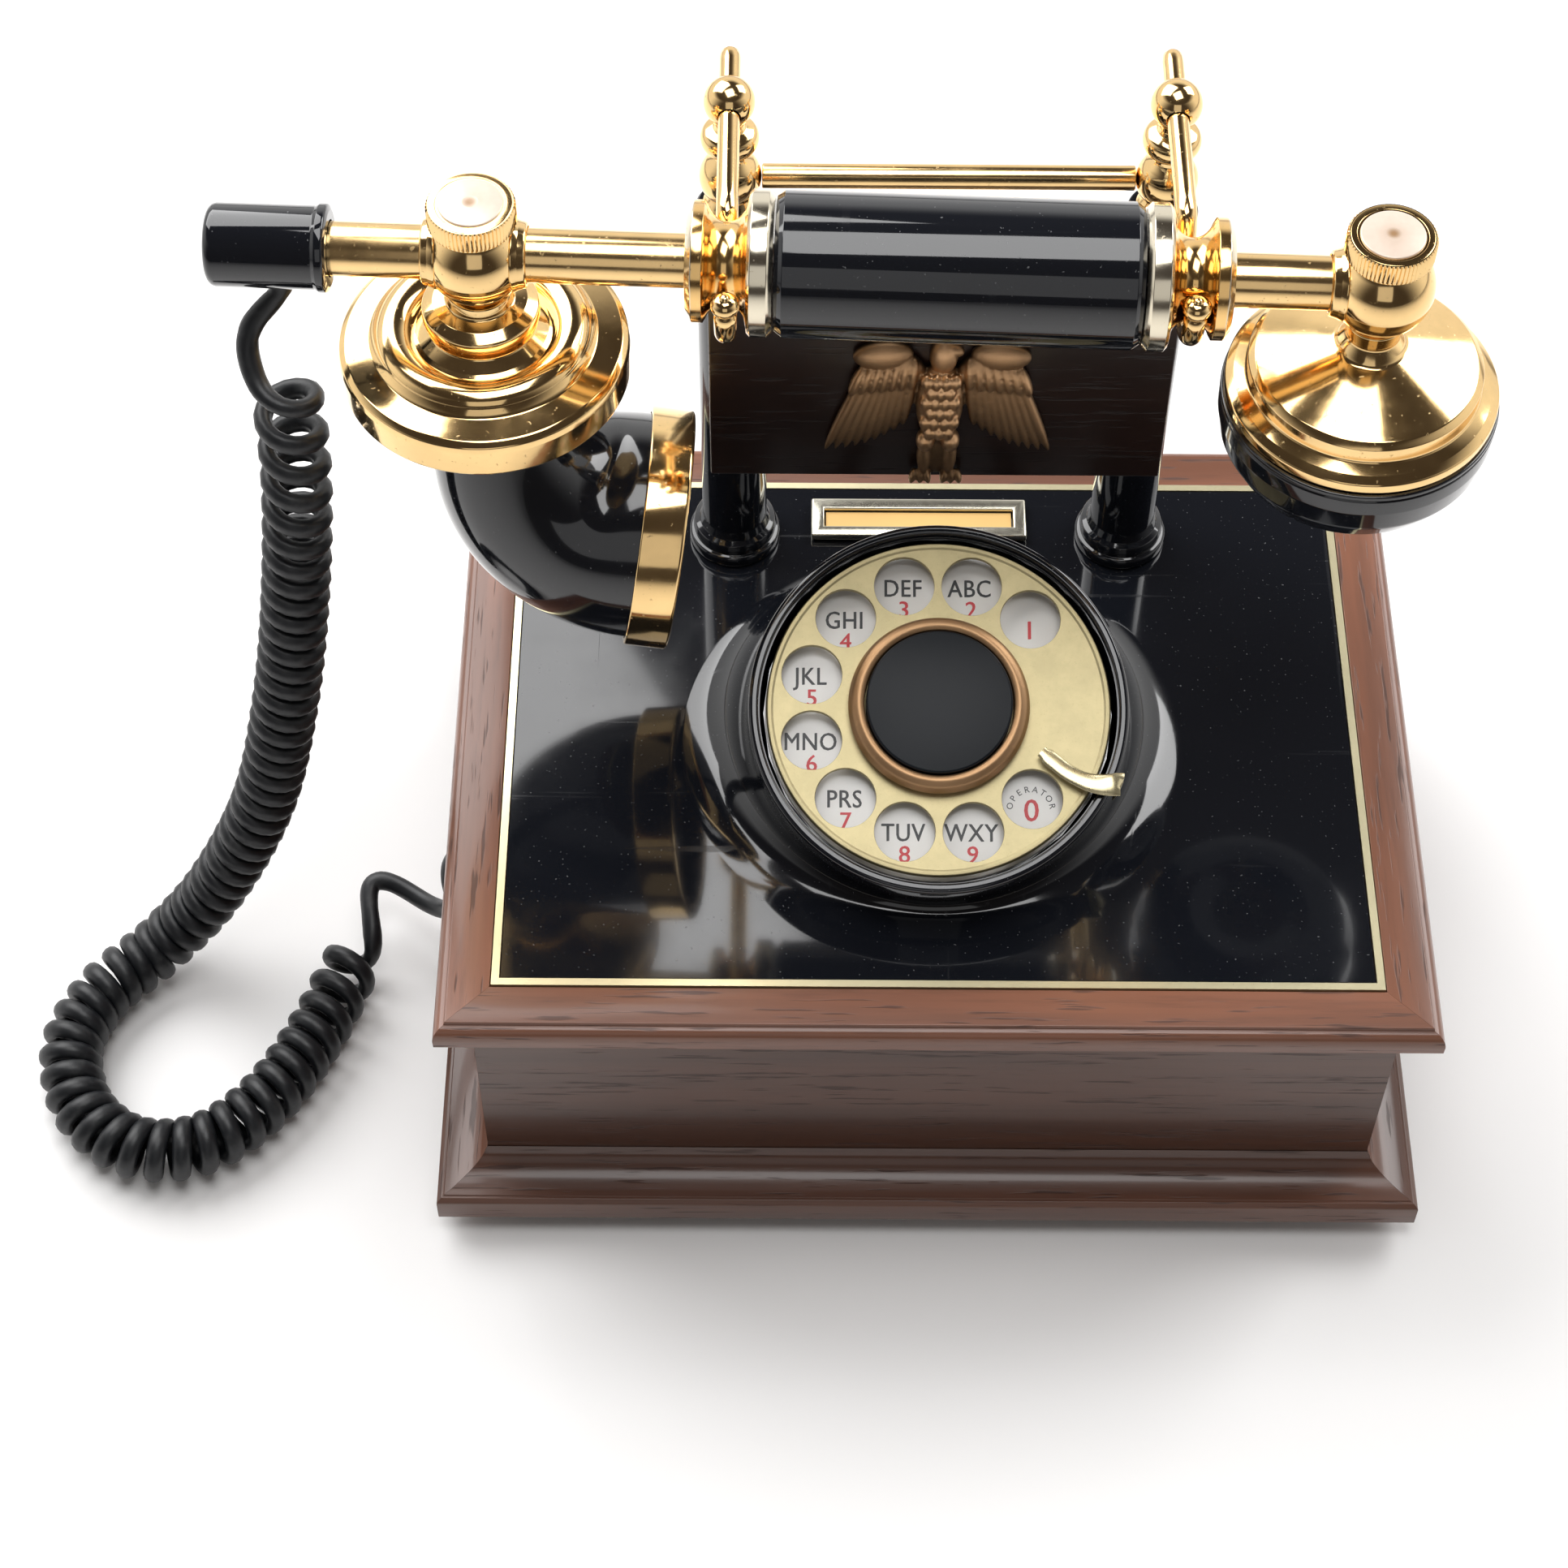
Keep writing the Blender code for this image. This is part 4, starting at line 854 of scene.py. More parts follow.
    def make_stop(self):
        """A pressed hook over the wheel, from the rim towards the middle."""
        route = [(39.3, -17.2, -3.0), (39.5, -17.4, 0.5), (38.9, -17.7, 2.6), (36.2, -17.9, 2.9),
                 (32.5, -17.2, 2.5), (28.5, -15.2, 2.1), (25.0, -12.4, 1.9), (22.4, -10.2, 1.8)]
        points = smooth_curve([Vector(p) * MM for p in route], 0.8 * MM)
        frames = []
        for i, point in enumerate(points):
            ahead = (points[min(i + 1, len(points) - 1)] - points[max(i - 1, 0)]).normalized()
            up = Vector((0.25, 0, 1)) if i > 6 else Vector((1, -0.4, 0))
            side = ahead.cross(up).normalized()
            share = i / (len(points) - 1)
            wide = (3.0 - 1.1 * min(1.0, share * 1.7)) * MM
            if share > 0.95:
                wide *= 0.75
            turned = axes(side, ahead.cross(side), ahead)
            frames.append(Matrix.Translation(point) @ turned @ Matrix.Diagonal((wide, 0.5 * MM, MM, 1)))
        item = skin("finger_stop_hook", frames, 20)
        done(item, "stop", "base", DIAL, ("finger_stop",), 50)


class PHONE_OT_pillars(bpy.types.Operator):
    """Black pillars, the panel between them and its bird ornament"""
    bl_idname = "phone.pillars"
    bl_label = "Pillars"

    def execute(self, context):
        low = PLATE_TOP / MM + 0.3
        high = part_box("pillar_left")[1][2] / MM
        profile = [(3.3, low), (10.7, low, 0.4), (10.7, low + 2.6, 1.2), (9.5, low + 3.0, 0.2),
                   (9.9, low + 4.4, 0.9), (9.5, low + 5.9, 0.6), (8.3, low + 6.6, 0.2), (7.6, low + 8.6, 1.0),
                   (7.6, high, 0.5), (3.3, high)]
        for side, x in (("left", -PILLAR_X), ("right", PILLAR_X)):
            item = turn("pillar_" + side + "_turned", profile)
            place = BASE @ Matrix.Translation((x, PILLAR_Y, 0))
            done(item, "black", "base", place, ("pillar_" + side,))
        panel = block("panel_board", *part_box("back_panel"))
        soften(panel, 0.5 * MM)
        done(panel, "panel", "base", replaced=("back_panel",))
        self.make_bird()
        return {"FINISHED"}

    def blob(self, x, z, across, tall, thick, y=0.0, lean=0.0):
        """One rounded lump of the relief. Millimetres, lean in degrees."""
        clear_selection()
        bpy.ops.mesh.primitive_uv_sphere_add(segments=20, ring_count=12, radius=MM)
        item = bpy.context.object
        place = Matrix.Translation((x * MM, y * MM, z * MM))
        leaning = Matrix.Rotation(math.radians(lean), 4, "Y")
        item.data.transform(place @ leaning @ Matrix.Diagonal((across, thick, tall, 1)))
        return item

    def make_bird(self):
        """A plain spread bird of our own: body, head, legs and two fans of feathers."""
        lumps = [self.blob(0, 19.5, 5.2, 9.6, 3.2, 0.4), self.blob(0.3, 30.4, 3.1, 3.9, 2.6, 0.3),
                 self.blob(2.4, 32.0, 2.4, 1.3, 1.5, 0.2, 18), self.blob(0, 6.5, 3.2, 5.0, 1.6, 1.0)]
        for side in (-1, 1):
            lumps.append(self.blob(side * 2.7, 11.2, 2.1, 2.5, 2.4, -0.9))
            lumps.append(self.blob(side * 2.9, 6.0, 1.5, 4.2, 1.6, 0.2, side * 4))
            for toe in (-1.6, 0.0, 1.6):
                lumps.append(self.blob(side * 3.4 + toe, 1.5, 0.85, 1.7, 1.4, -0.2, toe * -9))
            lumps.append(self.blob(side * 12.5, 30.3, 6.6, 3.0, 2.2, 0.5, side * 4))
            lumps.append(self.blob(side * 7.0, 27.4, 4.4, 2.8, 2.0, 0.6, side * -34))
            for k in range(9):
                share = k / 8
                reach = 8.2 + 3.4 * share
                lean = -side * (8 + 16 * share)
                x = side * (6.6 + 13.2 * share)
                z = 21.5 - 3.4 * share - 1.4 * math.sin(share * math.pi)
                lumps.append(self.blob(x, z, 1.25, reach, 1.5, 0.6 - 0.35 * share, lean))
            for k in range(7):
                share = k / 6
                lumps.append(self.blob(side * (6.0 + 12.0 * share), 26.4 - 1.6 * share, 1.15, 3.6, 1.7, -0.15,
                                       -side * (6 + 18 * share)))
        for row in range(6):
            count = 4 if row % 2 else 3
            for k in range(count):
                x = (k - (count - 1) / 2) * 2.1
                lumps.append(self.blob(x, 13.8 + row * 2.4, 1.25, 1.6, 1.3, -2.1 + 0.1 * abs(x)))
        bird = join(lumps)
        bird.name = "bird_relief"
        bird.data.transform(Matrix.Diagonal((1.03, 1, 1.37, 1)))
        modify(bird, "REMESH", mode="VOXEL", voxel_size=0.34 * MM)
        modify(bird, "SMOOTH", factor=0.5, iterations=2)
        # Painted highlight: the nearer a point stands to the front, the brighter its bronze; partly rubbed
        # wear of the high spots.
        depth = [v.co.y for v in bird.data.vertices]
        front, rear = min(depth), max(depth)
        store(bird, "rubbed_and_highlight", [max(0.0, (rear - y) / (rear - front)) ** 1.7 for y in depth])
        box_low, box_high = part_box("ornament")
        place = Matrix.Translation((BASE_X, box_high[1] - rear * 0.4, box_low[2] - 0.2 * MM))
        done(bird, "bronze", "base", place, ("ornament",), 180)


class PHONE_OT_cradle(bpy.types.Operator):
    """Turned finials on their plungers, crossbar and the two forks"""
    bl_idname = "phone.cradle"
    bl_label = "Cradle"
    ball_z = 222.8

    def execute(self, context):
        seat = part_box("pillar_left")[1][2] / MM + 0.3
        bar_z = middle("crossbar").z / MM
        ball_z = self.ball_z
        profile = [(0, 36), (2.8, 36), (2.8, seat), (5.6, seat, 0.3), (5.9, seat + 1.2, 0.4),
                   (5.2, seat + 2.0, 0.2)]
        profile += arc(0, bar_z, 6.65, -50, 50, 14)
        profile += [(3.5, 208.0, 0.8), (3.3, 209.6, 0.5), (4.6, 210.0, 0.2)]
        profile += arc(4.3, 212.9, 1.9, -70, 70, 8, 1.35)
        profile += [(3.4, 215.9, 0.4), (3.0, 216.9, 0.5)]
        profile += arc(0, ball_z, 5.4, -57, 88, 18) + [(0, ball_z + 5.4)]
        for side, x in (("left", -PILLAR_X), ("right", PILLAR_X)):
            item = turn("finial_" + side + "_turned", profile, 72)
            cross = Matrix.Translation((0, 0, ball_z * MM)) @ Matrix.Rotation(math.pi / 2, 4, "X")
            bore(item, 2.5, -12, 12, 32, cross)
            place = BASE @ Matrix.Translation((x, PILLAR_Y, 0))
            done(item, "gold", "cradle", place, ("finial_" + side,))
            self.make_fork(side, x)
        low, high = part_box("crossbar")
        reach = (high[0] - low[0]) / 2 / MM + 0.25
        rod = turn("cross_rod", [(0, -reach), (2.65, -reach, 0.3), (2.65, reach, 0.3), (0, reach)], 48)
        place = BASE @ Matrix.Translation((0, PILLAR_Y, bar_z * MM)) @ along_x()
        done(rod, "tube", "cradle", place, ("crossbar",))
        return {"FINISHED"}

    def make_fork(self, side, x):
        """A bent rod under the handset's waist, with a small turned knob on its front end."""
        y = middle("grip").y / MM
        z = middle("grip").z / MM
        ball_z = self.ball_z
        route = [(PILLAR_Y / MM + 15.8, ball_z), (PILLAR_Y / MM, ball_z), (y + 18.6, ball_z),
                 (y + 14.4, ball_z - 1.4), (y + 12.2, ball_z - 4.4), (y + 10.1, z - 7.2), (y + 6.1, z - 10.1),
                 (y, z - 10.7), (y - 5.9, z - 10.1), (y - 10.6, z - 6.8), (y - 12.6, z - 2.2),
                 (y - 13.0, z + 0.6)]
        points = smooth_curve([Vector((x + BASE_X, a * MM, b * MM)) for a, b in route], 1.6 * MM)
        radius = 2.25 * MM
        radii = [radius] * len(points)
        radii[0] = radius * 0.35
        radii[1] = radius * 0.9
        up = (points[-1] - points[-2]).normalized()
        start = points[-1]
        knob = ((0.5, 0.8), (0.9, 0.72), (1.3, 0.85), (2.0, 1.16), (2.9, 1.29), (3.8, 1.22), (4.6, 0.95),
                (5.0, 0.6), (5.1, 0.42), (5.5, 0.36), (5.7, 0.2))
        for reach, share in knob:
            points.append(start + up * reach * MM)
            radii.append(radius * share)
        item = skin(f"fork_{side}_rod", path_frames(points, radii), 28)
        done(item, "gold", "cradle", replaced=("fork_" + side,), smooth=60)


class PHONE_OT_handset(bpy.types.Operator):
    """Grip, spools, tubes, balls, knurled nuts and end cap"""
    bl_idname = "phone.handset"
    bl_label = "Handset"
    left_ball = -95.9
    right_ball = 83.7
    tube_bore = 5.75

    def execute(self, context):
        bored = self.tube_bore
        grip = turn("grip_barrel", [(0, -36.2), (13.4, -36.2), (14.6, -34.6, 0.3), (14.6, 34.6, 0.3),
                                    (13.4, 36.2), (0, 36.2)], 128)
        done(grip, "grip", "handset", HANDSET @ along_x(), ("grip",), 25)
        spool = [(0, 36.5), (13.6, 36.5), (14.7, 37.6, 0.3), (14.7, 40.9, 0.3), (13.9, 41.6, 0.2)]
        spool += arc(13.0, 46.0, 5.0, 248, 112, 16, 0.83)
        spool += [(12.1, 50.4, 0.2), (12.1, 52.6, 0.3), (10.4, 53.8, 0.3), (bored, 53.8), (bored, 48.0),
                  (0, 48.0)]
        for side, flip in (("left", True), ("right", False)):
            item = turn("spool_" + side + "_turned", spool, 112)
            done(item, "spool", "handset", HANDSET @ along_x(flip), ("spool_" + side,))
        for side, low, high in (("left", -128.3, -48.3), ("right", 48.3, 79.7)):
            item = turn("rod_" + side, [(0, low), (5.45, low, 0.3), (5.45, high, 0.3), (0, high)], 64)
            done(item, "tube", "handset", HANDSET @ along_x(), ("tube_" + side,))
        for side, x in (("left", self.left_ball), ("right", self.right_ball)):
            self.make_ball(side, x)
        cap = [(0, -149.2), (8.35, -149.2, 1.9), (8.35, -127.6, 0.6), (8.85, -126.8, 0.4),
               (8.85, -125.2, 0.7), (7.6, -124.8, 0.3), (bored, -124.8), (bored, -128.8), (0, -128.8)]
        item = turn("cap_moulding", cap)
        done(item, "grip", "handset", HANDSET @ along_x(), ("end_cap",))
        return {"FINISHED"}

    def make_ball(self, side, x):
        """A ball with its cross bore and the knurled nut and pearl disc on top."""
        place = HANDSET @ Matrix.Translation((x * MM, 0, 0))
        top = 8.56
        profile = [(0, -9.23)] + arc(0, 0, 10.45, -62, 55, 24)
        profile += [(3.3, top), (3.3, top - 2.2), (0, top - 2.2)]
        ball = turn("ball_" + side + "_turned", profile)
        bored = self.tube_bore
        through = side == "left"
        bore(ball, bored, -20, 20 if through else -3.7, 64, along_x())
        for flip in ((True, False) if through else (True,)):
            boss = turn("boss", [(bored, 8.0), (7.9, 6.8, 0.8), (6.9, 8.9, 1.0), (6.5, 10.3, 0.6),
                                 (bored, 10.6, 0.3)], 64)
            boss.data.transform(along_x(flip))
            cut(ball, boss, "UNION")
        done(ball, "gold", "handset", place, ("ball_" + side,))
        foot = top + 0.3
        count = sizes().knurls * 4
        levels = [(0.93, foot), (0.975, foot + 0.2), (1.0, foot + 0.5), (1.0, foot + 4.5),
                  (0.985, foot + 4.8), (0.95, foot + 5.0)]
        frames = [Matrix.Translation((0, 0, z * MM)) @ Matrix.Diagonal((8.9 * s * MM, 8.9 * s * MM, MM, 1))
                  for s, z in levels]
        nut = skin("nut_" + side + "_knurled", frames, count)
        for v in nut.data.vertices:
            if foot + 0.4 < v.co.z / MM < foot + 4.9:
                ridge = 1 + 0.021 * (math.cos(math.atan2(v.co.y, v.co.x) * sizes().knurls) - 1)
                v.co.x *= ridge
                v.co.y *= ridge
        collar = turn("collar", [(0, foot + 4.4), (8.3, foot + 4.4), (8.3, foot + 5.05, 0.2),
                                 (7.0, foot + 5.1, 0.15), (6.7, foot + 4.7), (0, foot + 4.7)])
        spigot = turn("spigot", [(0, foot - 1.9), (3.0, foot - 1.9), (3.0, foot + 0.2), (0, foot + 0.2)], 32)
        nut = join([nut, collar, spigot])
        body = "nut_" + side
        done(nut, "gold", body, place, (body,), 28)
        disc = turn("disc_" + side, [(0, foot + 4.75), (6.45, foot + 4.75), (6.45, foot + 5.35, 0.4),
                                     (1.6, foot + 5.55, 0.6), (0, foot + 5.45)])
        eye = [max(0.0, 1 - math.hypot(v.co.x, v.co.y) / (2.4 * MM)) for v in disc.data.vertices]
        store(disc, "eye", eye)
        done(disc, "pearl", body, place)


class PHONE_OT_transmitter(bpy.types.Operator):
    """Gold case under the left ball, bent horn and mouth ring"""
    bl_idname = "phone.transmitter"
    bl_label = "Transmitter"

    def execute(self, context):
        x = PHONE_OT_handset.left_ball
        place = HANDSET @ Matrix.Translation((x * MM, 0, 0))
        case = [(0, -9.55), (6.7, -9.55, 0.3), (6.9, -12.2, 0.6), (9.6, -12.9, 0.6), (11.9, -14.2, 0.6),
                (12.0, -16.6, 0.5), (11.2, -17.2, 0.3), (11.2, -19.0, 0.8), (13.6, -20.8, 1.2)]
        case += arc(18.2, -22.4, 3.9, 160, 8, 14, 0.82)
        case += [(23.4, -23.1, 0.8), (28.4, -24.1, 1.1), (29.6, -25.0, 0.7), (29.85, -26.4, 0.5),
                 (29.85, -32.4, 0.7), (28.4, -33.9, 0.8), (9.4, -34.2, 0.3), (9.4, -36.4, 0.4), (7.4, -36.4),
                 (7.4, -32.6), (27.4, -32.2), (27.4, -26.8), (0, -26.4)]
        item = turn("transmitter_shell", case, 128)
        done(item, "gold", "handset", place, ("transmitter_case",))
        mouth = Vector((-59.0 - x, 0, -84.0))
        tilt = math.radians(8.0)
        ahead = Vector((math.cos(tilt), 0, -math.sin(tilt)))
        seat = mouth - ahead * 8.0
        collar = Vector((0, 0, -36.7))
        start = collar + Vector((0, 0, -1.5))
        bend = Vector((0, 0, mouth.z + mouth.x * math.tan(tilt)))
        steps = 30
        centres = [collar, collar + Vector((0, 0, -0.8))]
        radii = [9.0, 9.3]
        for i in range(steps + 1):
            t = i / steps
            centres.append((1 - t) ** 2 * start + 2 * t * (1 - t) * bend + t ** 2 * seat)
            radii.append(9.3 + 15.3 * (1 - (1 - t) ** 1.6) ** 0.9)
        centres.append(seat + ahead * 4)
        centres.append(mouth)
        radii += [24.6, 24.6]
        frames = path_frames([c * MM for c in centres], [r * MM for r in radii])
        horn = skin("horn_moulding", frames, 96, caps=False)
        modify(horn, "SOLIDIFY", thickness=1.8 * MM, offset=-1.0, use_even_offset=False)
        done(horn, "black", "handset", place, ("horn",), 50)
        facing = Matrix.Translation(mouth * MM) @ Matrix.Rotation(math.pi / 2 + tilt, 4, "Y")
        ring = turn("mouth_band", [(24.9, -7.4), (26.2, -7.4, 0.4), (26.2, 2.0, 0.8), (22.2, 2.0, 0.5),
                                   (22.2, 0.5), (24.9, 0.5)], 128)
        done(ring, "gold", "handset", place @ facing, ("mouth_ring",))
        self.make_grille(place @ facing)
        return {"FINISHED"}

    def make_grille(self, place):
        """Pierced disc inside the mouth."""
        disc = turn("mouth_grille", [(0, -3.4), (22.2, -3.4), (22.2, -2.2, 0.3), (14.0, -2.2, 1.0),
                                     (6.0, -3.0, 1.0), (0, -2.8)], 64)
        pierce(disc, ((1, 0.0), (6, 4.6), (12, 9.2), (18, 13.8)), 1.15, -6, 3, 12)
        done(disc, "black", "handset", place)


class PHONE_OT_receiver(bpy.types.Operator):
    """Gold cover and black ear cup under the right ball"""
    bl_idname = "phone.receiver"
    bl_label = "Receiver"

    def execute(self, context):
        place = HANDSET @ Matrix.Translation((PHONE_OT_handset.right_ball * MM, 0, 0))
        cover = [(0, -9.55), (6.0, -9.55, 0.3), (5.4, -13.4, 1.4), (7.0, -16.4, 2.2), (22.6, -21.2, 1.0),
                 (23.9, -22.4, 0.5), (23.9, -25.8, 0.9), (26.3, -27.2, 1.0), (28.0, -28.4, 0.8),
                 (28.0, -30.4, 0.5), (27.4, -31.0), (25.6, -31.0), (25.6, -29.4), (21.2, -26.6),
                 (21.2, -24.2), (0, -23.0)]
        item = turn("receiver_shell", cover, 128)
        done(item, "gold", "handset", place, ("receiver_cover",))
        cup = [(0, -49.4), (9.0, -49.6, 2.0), (15.0, -51.0, 2.4), (19.6, -50.8, 1.8), (24.6, -47.6, 3.0),
               (27.6, -42.2, 4.0), (28.5, -36.6, 3.0), (28.5, -33.0, 0.4), (28.1, -32.6, 0.2),
               (28.5, -32.2, 0.2), (28.5, -31.3, 0.4), (22.0, -31.3), (22.0, -38.0),
               (21.0, -44.0), (17.0, -47.6), (0, -47.6)]
        bowl = turn("ear_cup", cup, 128)
        pierce(bowl, ((1, 0.0), (6, 4.4)), 1.0, -60, -45, 16)
        done(bowl, "black", "handset", place, ("receiver_cup",))
        return {"FINISHED"}


class PHONE_OT_cord(bpy.types.Operator):
    """Curly cord from the end cap to the gland in the left wall"""
    bl_idname = "phone.cord"
    bl_label = "Curly cord"
    top = [(-135, 15, 213.2), (-135, 15, 210), (-139, 13, 207), (-144, 10, 201), (-143.5, 8, 196)]
    hang = [(-136, 5, 193), (-137, 3, 165), (-141, 0, 130), (-147, -4, 95), (-156, -7, 60), (-171, -10, 28),
            (-186, -16, 11)]
    table = [(-199, -28, 8.4), (-205, -44, 8.4), (-200, -61, 8.4), (-187, -71, 8.4), (-171, -70, 8.4),
             (-157, -58, 8.4), (-146, -38, 8.4), (-137, -11, 8.4)]
    end = [(-131, -7, 10), (-136, -4, 15), (-137, 0, 17), (-131, 0, 17), (-123, -6, 16), (-116, -12, 20),
           (-112.5, -16, 30), (-113, -18, 43), (-112, -17, 53), (-107, -17, 56)]

    def execute(self, context):
        helix = self.wind([self.world(point) for point in self.hang + self.table])
        start = [self.world(point) for point in self.top]
        finish = [self.world(point) for point in self.end[1:]]
        aim = [(helix[i] - helix[i - 1]).normalized().dot((finish[0] - helix[i]).normalized())
               for i in range(len(helix) - 18, len(helix))]
        helix = helix[:len(helix) - 17 + aim.index(max(aim))]
        spacing = 1.2 * MM
        lead_in = smooth_curve(start[:-1] + helix[1:4:2], spacing)[:-2]
        lead_out = smooth_curve(helix[-3::2] + finish, spacing)
        entry, leaving = 13, -15
        top_part = self.ease((lead_in + helix[3:entry])[::-1], 14)[::-1]
        centres = top_part + helix[entry:leaving] + self.ease(helix[leaving:-3] + lead_out, 34)
        item = self.strand(centres)
        total = sum((b - a).length for a, b in zip(centres, centres[1:]))
        item.data.materials.append(LOOKS["cord"])
        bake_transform(item)
        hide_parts("cord_coil", "cord_lead_top", "cord_lead_base")
        gland = turn("gland_moulding", [(2.5, -8.0), (4.6, -8.0), (4.6, 6.6, 0.3), (5.6, 6.8, 0.4),
                                        (5.2, 8.0, 0.6), (2.5, 8.0)], 48)
        place = Matrix.Translation(middle("cord_gland")) @ along_x(True)
        done(gland, "rubber", "base", place, ("cord_gland",))
        return {"FINISHED"}

    def world(self, point):
        """A point of the lists above as a place in the row, in metres."""
        return Vector(point) * MM + Vector((BASE_X, 0, 0))

    def ease(self, points, rounds):
        """The same line with its bends opened, the more the further along it, its last point held."""
        for k in range(rounds):
            runs = zip(points, points[1:], points[2:])
            moved = [b + (a + c - 2 * b) * 0.25 * min(1.0, i / 16) for i, (a, b, c) in enumerate(runs)]
            points = points[:1] + moved + points[-1:]
        return points

    def wind(self, points):
        """The strand's centreline, wound round the coil's route; its turns are loose at both ends."""
        line = smooth_curve(points, 0.45 * MM)
        reach = [0.0]
        for a, b in zip(line, line[1:]):
            reach.append(reach[-1] + (b - a).length)
        radius = (sizes().coil_d - sizes().strand_t) / 2
        per_turn = 18
        loose_reach = 62 * MM
        tail_reach = 34 * MM
        side = Vector((-1, 0, 0))
        found = []
        turned = 0.0
        place = 0.0
        i = 0
        while place < reach[-1]:
            while i < len(line) - 2 and reach[i + 1] < place:
                i += 1
            share = (place - reach[i]) / max(1e-9, reach[i + 1] - reach[i])
            along = (line[min(i + 5, len(line) - 1)] - line[max(i - 4, 0)]).normalized()
            side = (side - along * side.dot(along)).normalized()
            other = along.cross(side)
            found.append(line[i].lerp(line[i + 1], share)
                         + radius * (math.cos(turned) * side + math.sin(turned) * other))
            loose = max(0.0, 1 - place / loose_reach) ** 1.1
            tail = 0.6 * max(0.0, 1 - (reach[-1] - place) / tail_reach)
            pitch = sizes().pitch + (sizes().loose_pitch - sizes().pitch) * max(loose, tail)
            turned -= 2 * math.pi / per_turn
            place += pitch / per_turn
        return found

    def strand(self, centres):
        """Skin the strand's oval section along its centreline."""
        bm = bmesh.new()
        sides = 12
        look = 9
        wide = sizes().strand_w / 2
        thick = sizes().strand_t / 2
        flat = Vector((0, 0, 1))
        loops = []
        for i, centre in enumerate(centres):
            along = (centres[min(i + 1, len(centres) - 1)] - centres[max(i - 1, 0)]).normalized()
            axis = centres[min(len(centres) - 1, i + look)] - centres[max(0, i - look)]
            axis = axis - along * axis.dot(along)
            wish = axis.normalized() if axis.length > 0.6 * MM else flat
            flat = flat - along * flat.dot(along)
            if wish.dot(flat) < 0:
                wish = -wish
            flat = (flat.normalized() * 0.7 + wish * 0.3)
            flat = (flat - along * flat.dot(along)).normalized()
            other = along.cross(flat)
            turns = [2 * math.pi * k / sides for k in range(sides)]
            loops.append([bm.verts.new(centre + wide * math.cos(a) * flat + thick * math.sin(a) * other)
                          for a in turns])
        for low, high in zip(loops, loops[1:]):
            for k in range(sides):
                j = (k + 1) % sides
                bm.faces.new((low[k], low[j], high[j], high[k]))
        bm.faces.new(loops[0][::-1])
        bm.faces.new(loops[-1])
        bmesh.ops.recalc_face_normals(bm, faces=bm.faces)
        mesh = bpy.data.meshes.new("curly_cord")
        bm.to_mesh(mesh)
        bm.free()
        mesh.shade_smooth()
        return add_object("curly_cord", mesh)


class PHONE_OT_inside(bpy.types.Operator):
    """Finishes of the pieces that are used as they are"""
    bl_idname = "phone.inside"
    bl_label = "Inside and underneath"
    finishes = {
        "inlay": ("inlay",), "card": ("card",), "bell": ("gong_left", "gong_right"),
        "grey": ("switch_bracket",),
        "rubber": ("foot_front_left", "foot_front_right", "foot_back_left", "foot_back_right"),
        "steel": ("bottom_plate", "dial_can", "dial_shaft", "governor", "ringer_frame", "clapper",
                  "hook_lever", "transmitter_unit", "receiver_unit"),
    }

    def execute(self, context):
        for look, nodes in self.finishes.items():
            for node in nodes:
                for place in frame["nodes"][node].material_slots:
                    place.material = LOOKS[look]
        return {"FINISHED"}


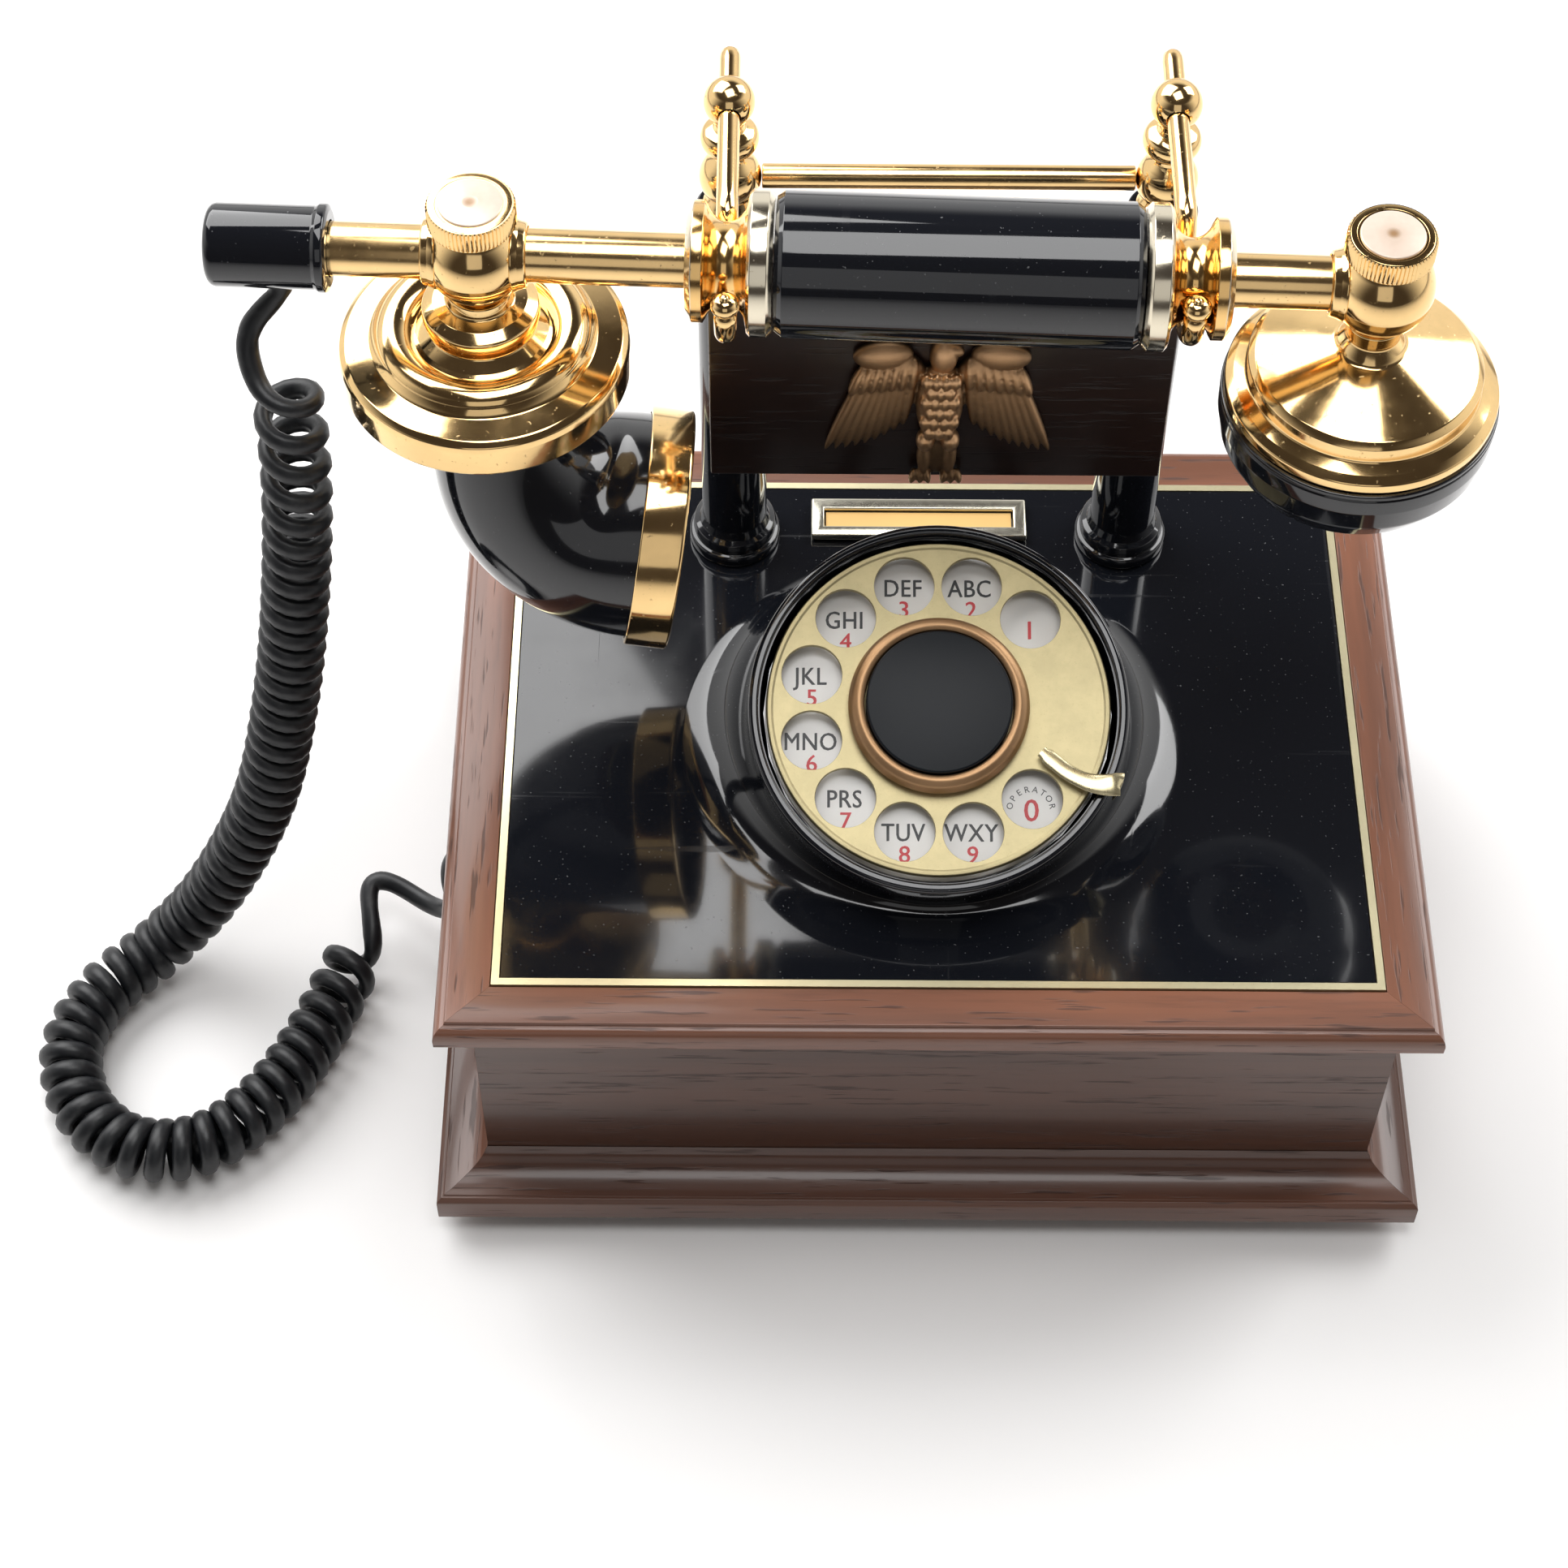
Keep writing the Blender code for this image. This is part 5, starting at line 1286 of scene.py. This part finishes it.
class PHONE_OT_stage(bpy.types.Operator):
    """Pale floor, soft light and the camera"""
    bl_idname = "phone.stage"
    bl_label = "Stage"

    def execute(self, context):
        clear_selection()
        bpy.ops.mesh.primitive_plane_add(size=7.0)
        floor = bpy.context.object
        floor.name = "pale_floor"
        shade = Shading("pale_floor", 0.6)
        shade.set("Base Color", shade.mix(shade.noise(3, 2, 0.5), (0.90, 0.89, 0.885), (0.93, 0.925, 0.92)))
        floor.data.materials.append(shade.material)
        self.lamp("key", (-0.75, 0.8, 1.3), 1.3, 28)
        self.lamp("right_panel", (1.05, 0.75, 1.15), 0.8, 13)
        self.lamp("overhead", (0.05, -0.12, 1.5), 0.75, 9)
        self.lamp("front_fill", (0.0, -1.4, 0.9), 0.9, 1.5)
        self.sky()
        self.camera()
        bpy.context.scene.view_settings.view_transform = "Standard"
        return {"FINISHED"}

    def lamp(self, name, place, size, power):
        """A square soft light that faces the telephone."""
        data = bpy.data.lights.new(name, "AREA")
        data.shape = "SQUARE"
        data.size = size
        data.energy = power
        item = add_object(name, data)
        item.location = place
        aim = Vector((0, 0, 0.08)) - Vector(place)
        item.rotation_euler = aim.to_track_quat("-Z", "Y").to_euler()

    def sky(self):
        """A white room, dark overhead and in front, so that the gold has something dark to show."""
        world = bpy.data.worlds.new("white_room")
        bpy.context.scene.world = world
        world.use_nodes = True
        nodes = world.node_tree.nodes
        links = world.node_tree.links
        place = nodes.new("ShaderNodeTexCoord")
        split = nodes.new("ShaderNodeSeparateXYZ")
        high = nodes.new("ShaderNodeMapRange")
        front = nodes.new("ShaderNodeMapRange")
        both = nodes.new("ShaderNodeMath")
        tone = nodes.new("ShaderNodeMix")
        links.new(place.outputs["Object"], split.inputs[0])
        links.new(split.outputs["Z"], high.inputs[0])
        links.new(split.outputs["Y"], front.inputs[0])
        for node, low, top in ((high, 0.36, 0.68), (front, 0.1, -0.75)):
            node.interpolation_type = "SMOOTHSTEP"
            node.inputs[1].default_value = low
            node.inputs[2].default_value = top
        both.operation = "MAXIMUM"
        links.new(high.outputs[0], both.inputs[0])
        links.new(front.outputs[0], both.inputs[1])
        tone.data_type = "RGBA"
        tone.inputs[6].default_value = (1.0, 0.99, 0.975, 1)
        tone.inputs[7].default_value = (0.055, 0.047, 0.042, 1)
        links.new(both.outputs[0], tone.inputs[0])
        links.new(tone.outputs[2], nodes["Background"].inputs[0])
        nodes["Background"].inputs[1].default_value = 1.0

    def camera(self):
        """Looking down from the front at about 55 degrees."""
        data = bpy.data.cameras.new("camera")
        data.lens = 76.94
        data.sensor_width = 36.0
        item = add_object("camera", data)
        place = Matrix.Translation((BASE_X - 33.9 * MM, -454.15 * MM, 706.7 * MM))
        pitch = Matrix.Rotation(math.radians(35.0), 4, "X")
        roll = Matrix.Rotation(math.radians(0.35), 4, "Z")
        item.matrix_world = place @ pitch @ roll
        bpy.context.scene.camera = item


class PHONE_PT_panel(bpy.types.Panel):
    """Sizes, colours and pieces of the telephone"""
    bl_idname = "PHONE_PT_panel"
    bl_label = "Cradle Telephone"
    bl_space_type = "VIEW_3D"
    bl_region_type = "UI"
    bl_category = "Telephone"

    def draw(self, context):
        for group in (sizes(), colours()):
            box = self.layout.box()
            for name in group.bl_rna.properties.keys():
                if name not in ("rna_type", "name"):
                    box.prop(group, name)
        for operator in PIECES:
            self.layout.operator(operator.bl_idname)


PIECES = (PHONE_OT_stage, PHONE_OT_cord, PHONE_OT_case, PHONE_OT_top, PHONE_OT_dial, PHONE_OT_pillars,
          PHONE_OT_cradle, PHONE_OT_handset, PHONE_OT_transmitter, PHONE_OT_receiver, PHONE_OT_inside)
CLASSES = (PhoneSizes, PhoneColours, *PIECES, PHONE_PT_panel)


def register():
    """Add the classes and the scene's settings."""
    for item in CLASSES:
        bpy.utils.register_class(item)
    bpy.types.Scene.phone_sizes = PointerProperty(type=PhoneSizes)
    bpy.types.Scene.phone_colours = PointerProperty(type=PhoneColours)


def unregister():
    """Take them away again."""
    del bpy.types.Scene.phone_colours
    del bpy.types.Scene.phone_sizes
    for item in reversed(CLASSES):
        bpy.utils.unregister_class(item)


def main():
    """Make everything."""
    register()
    make_looks()
    for operator in PIECES:
        getattr(bpy.ops.phone, operator.bl_idname.split(".")[1])()
    clear_selection()


if __name__ == "__main__":
    main()
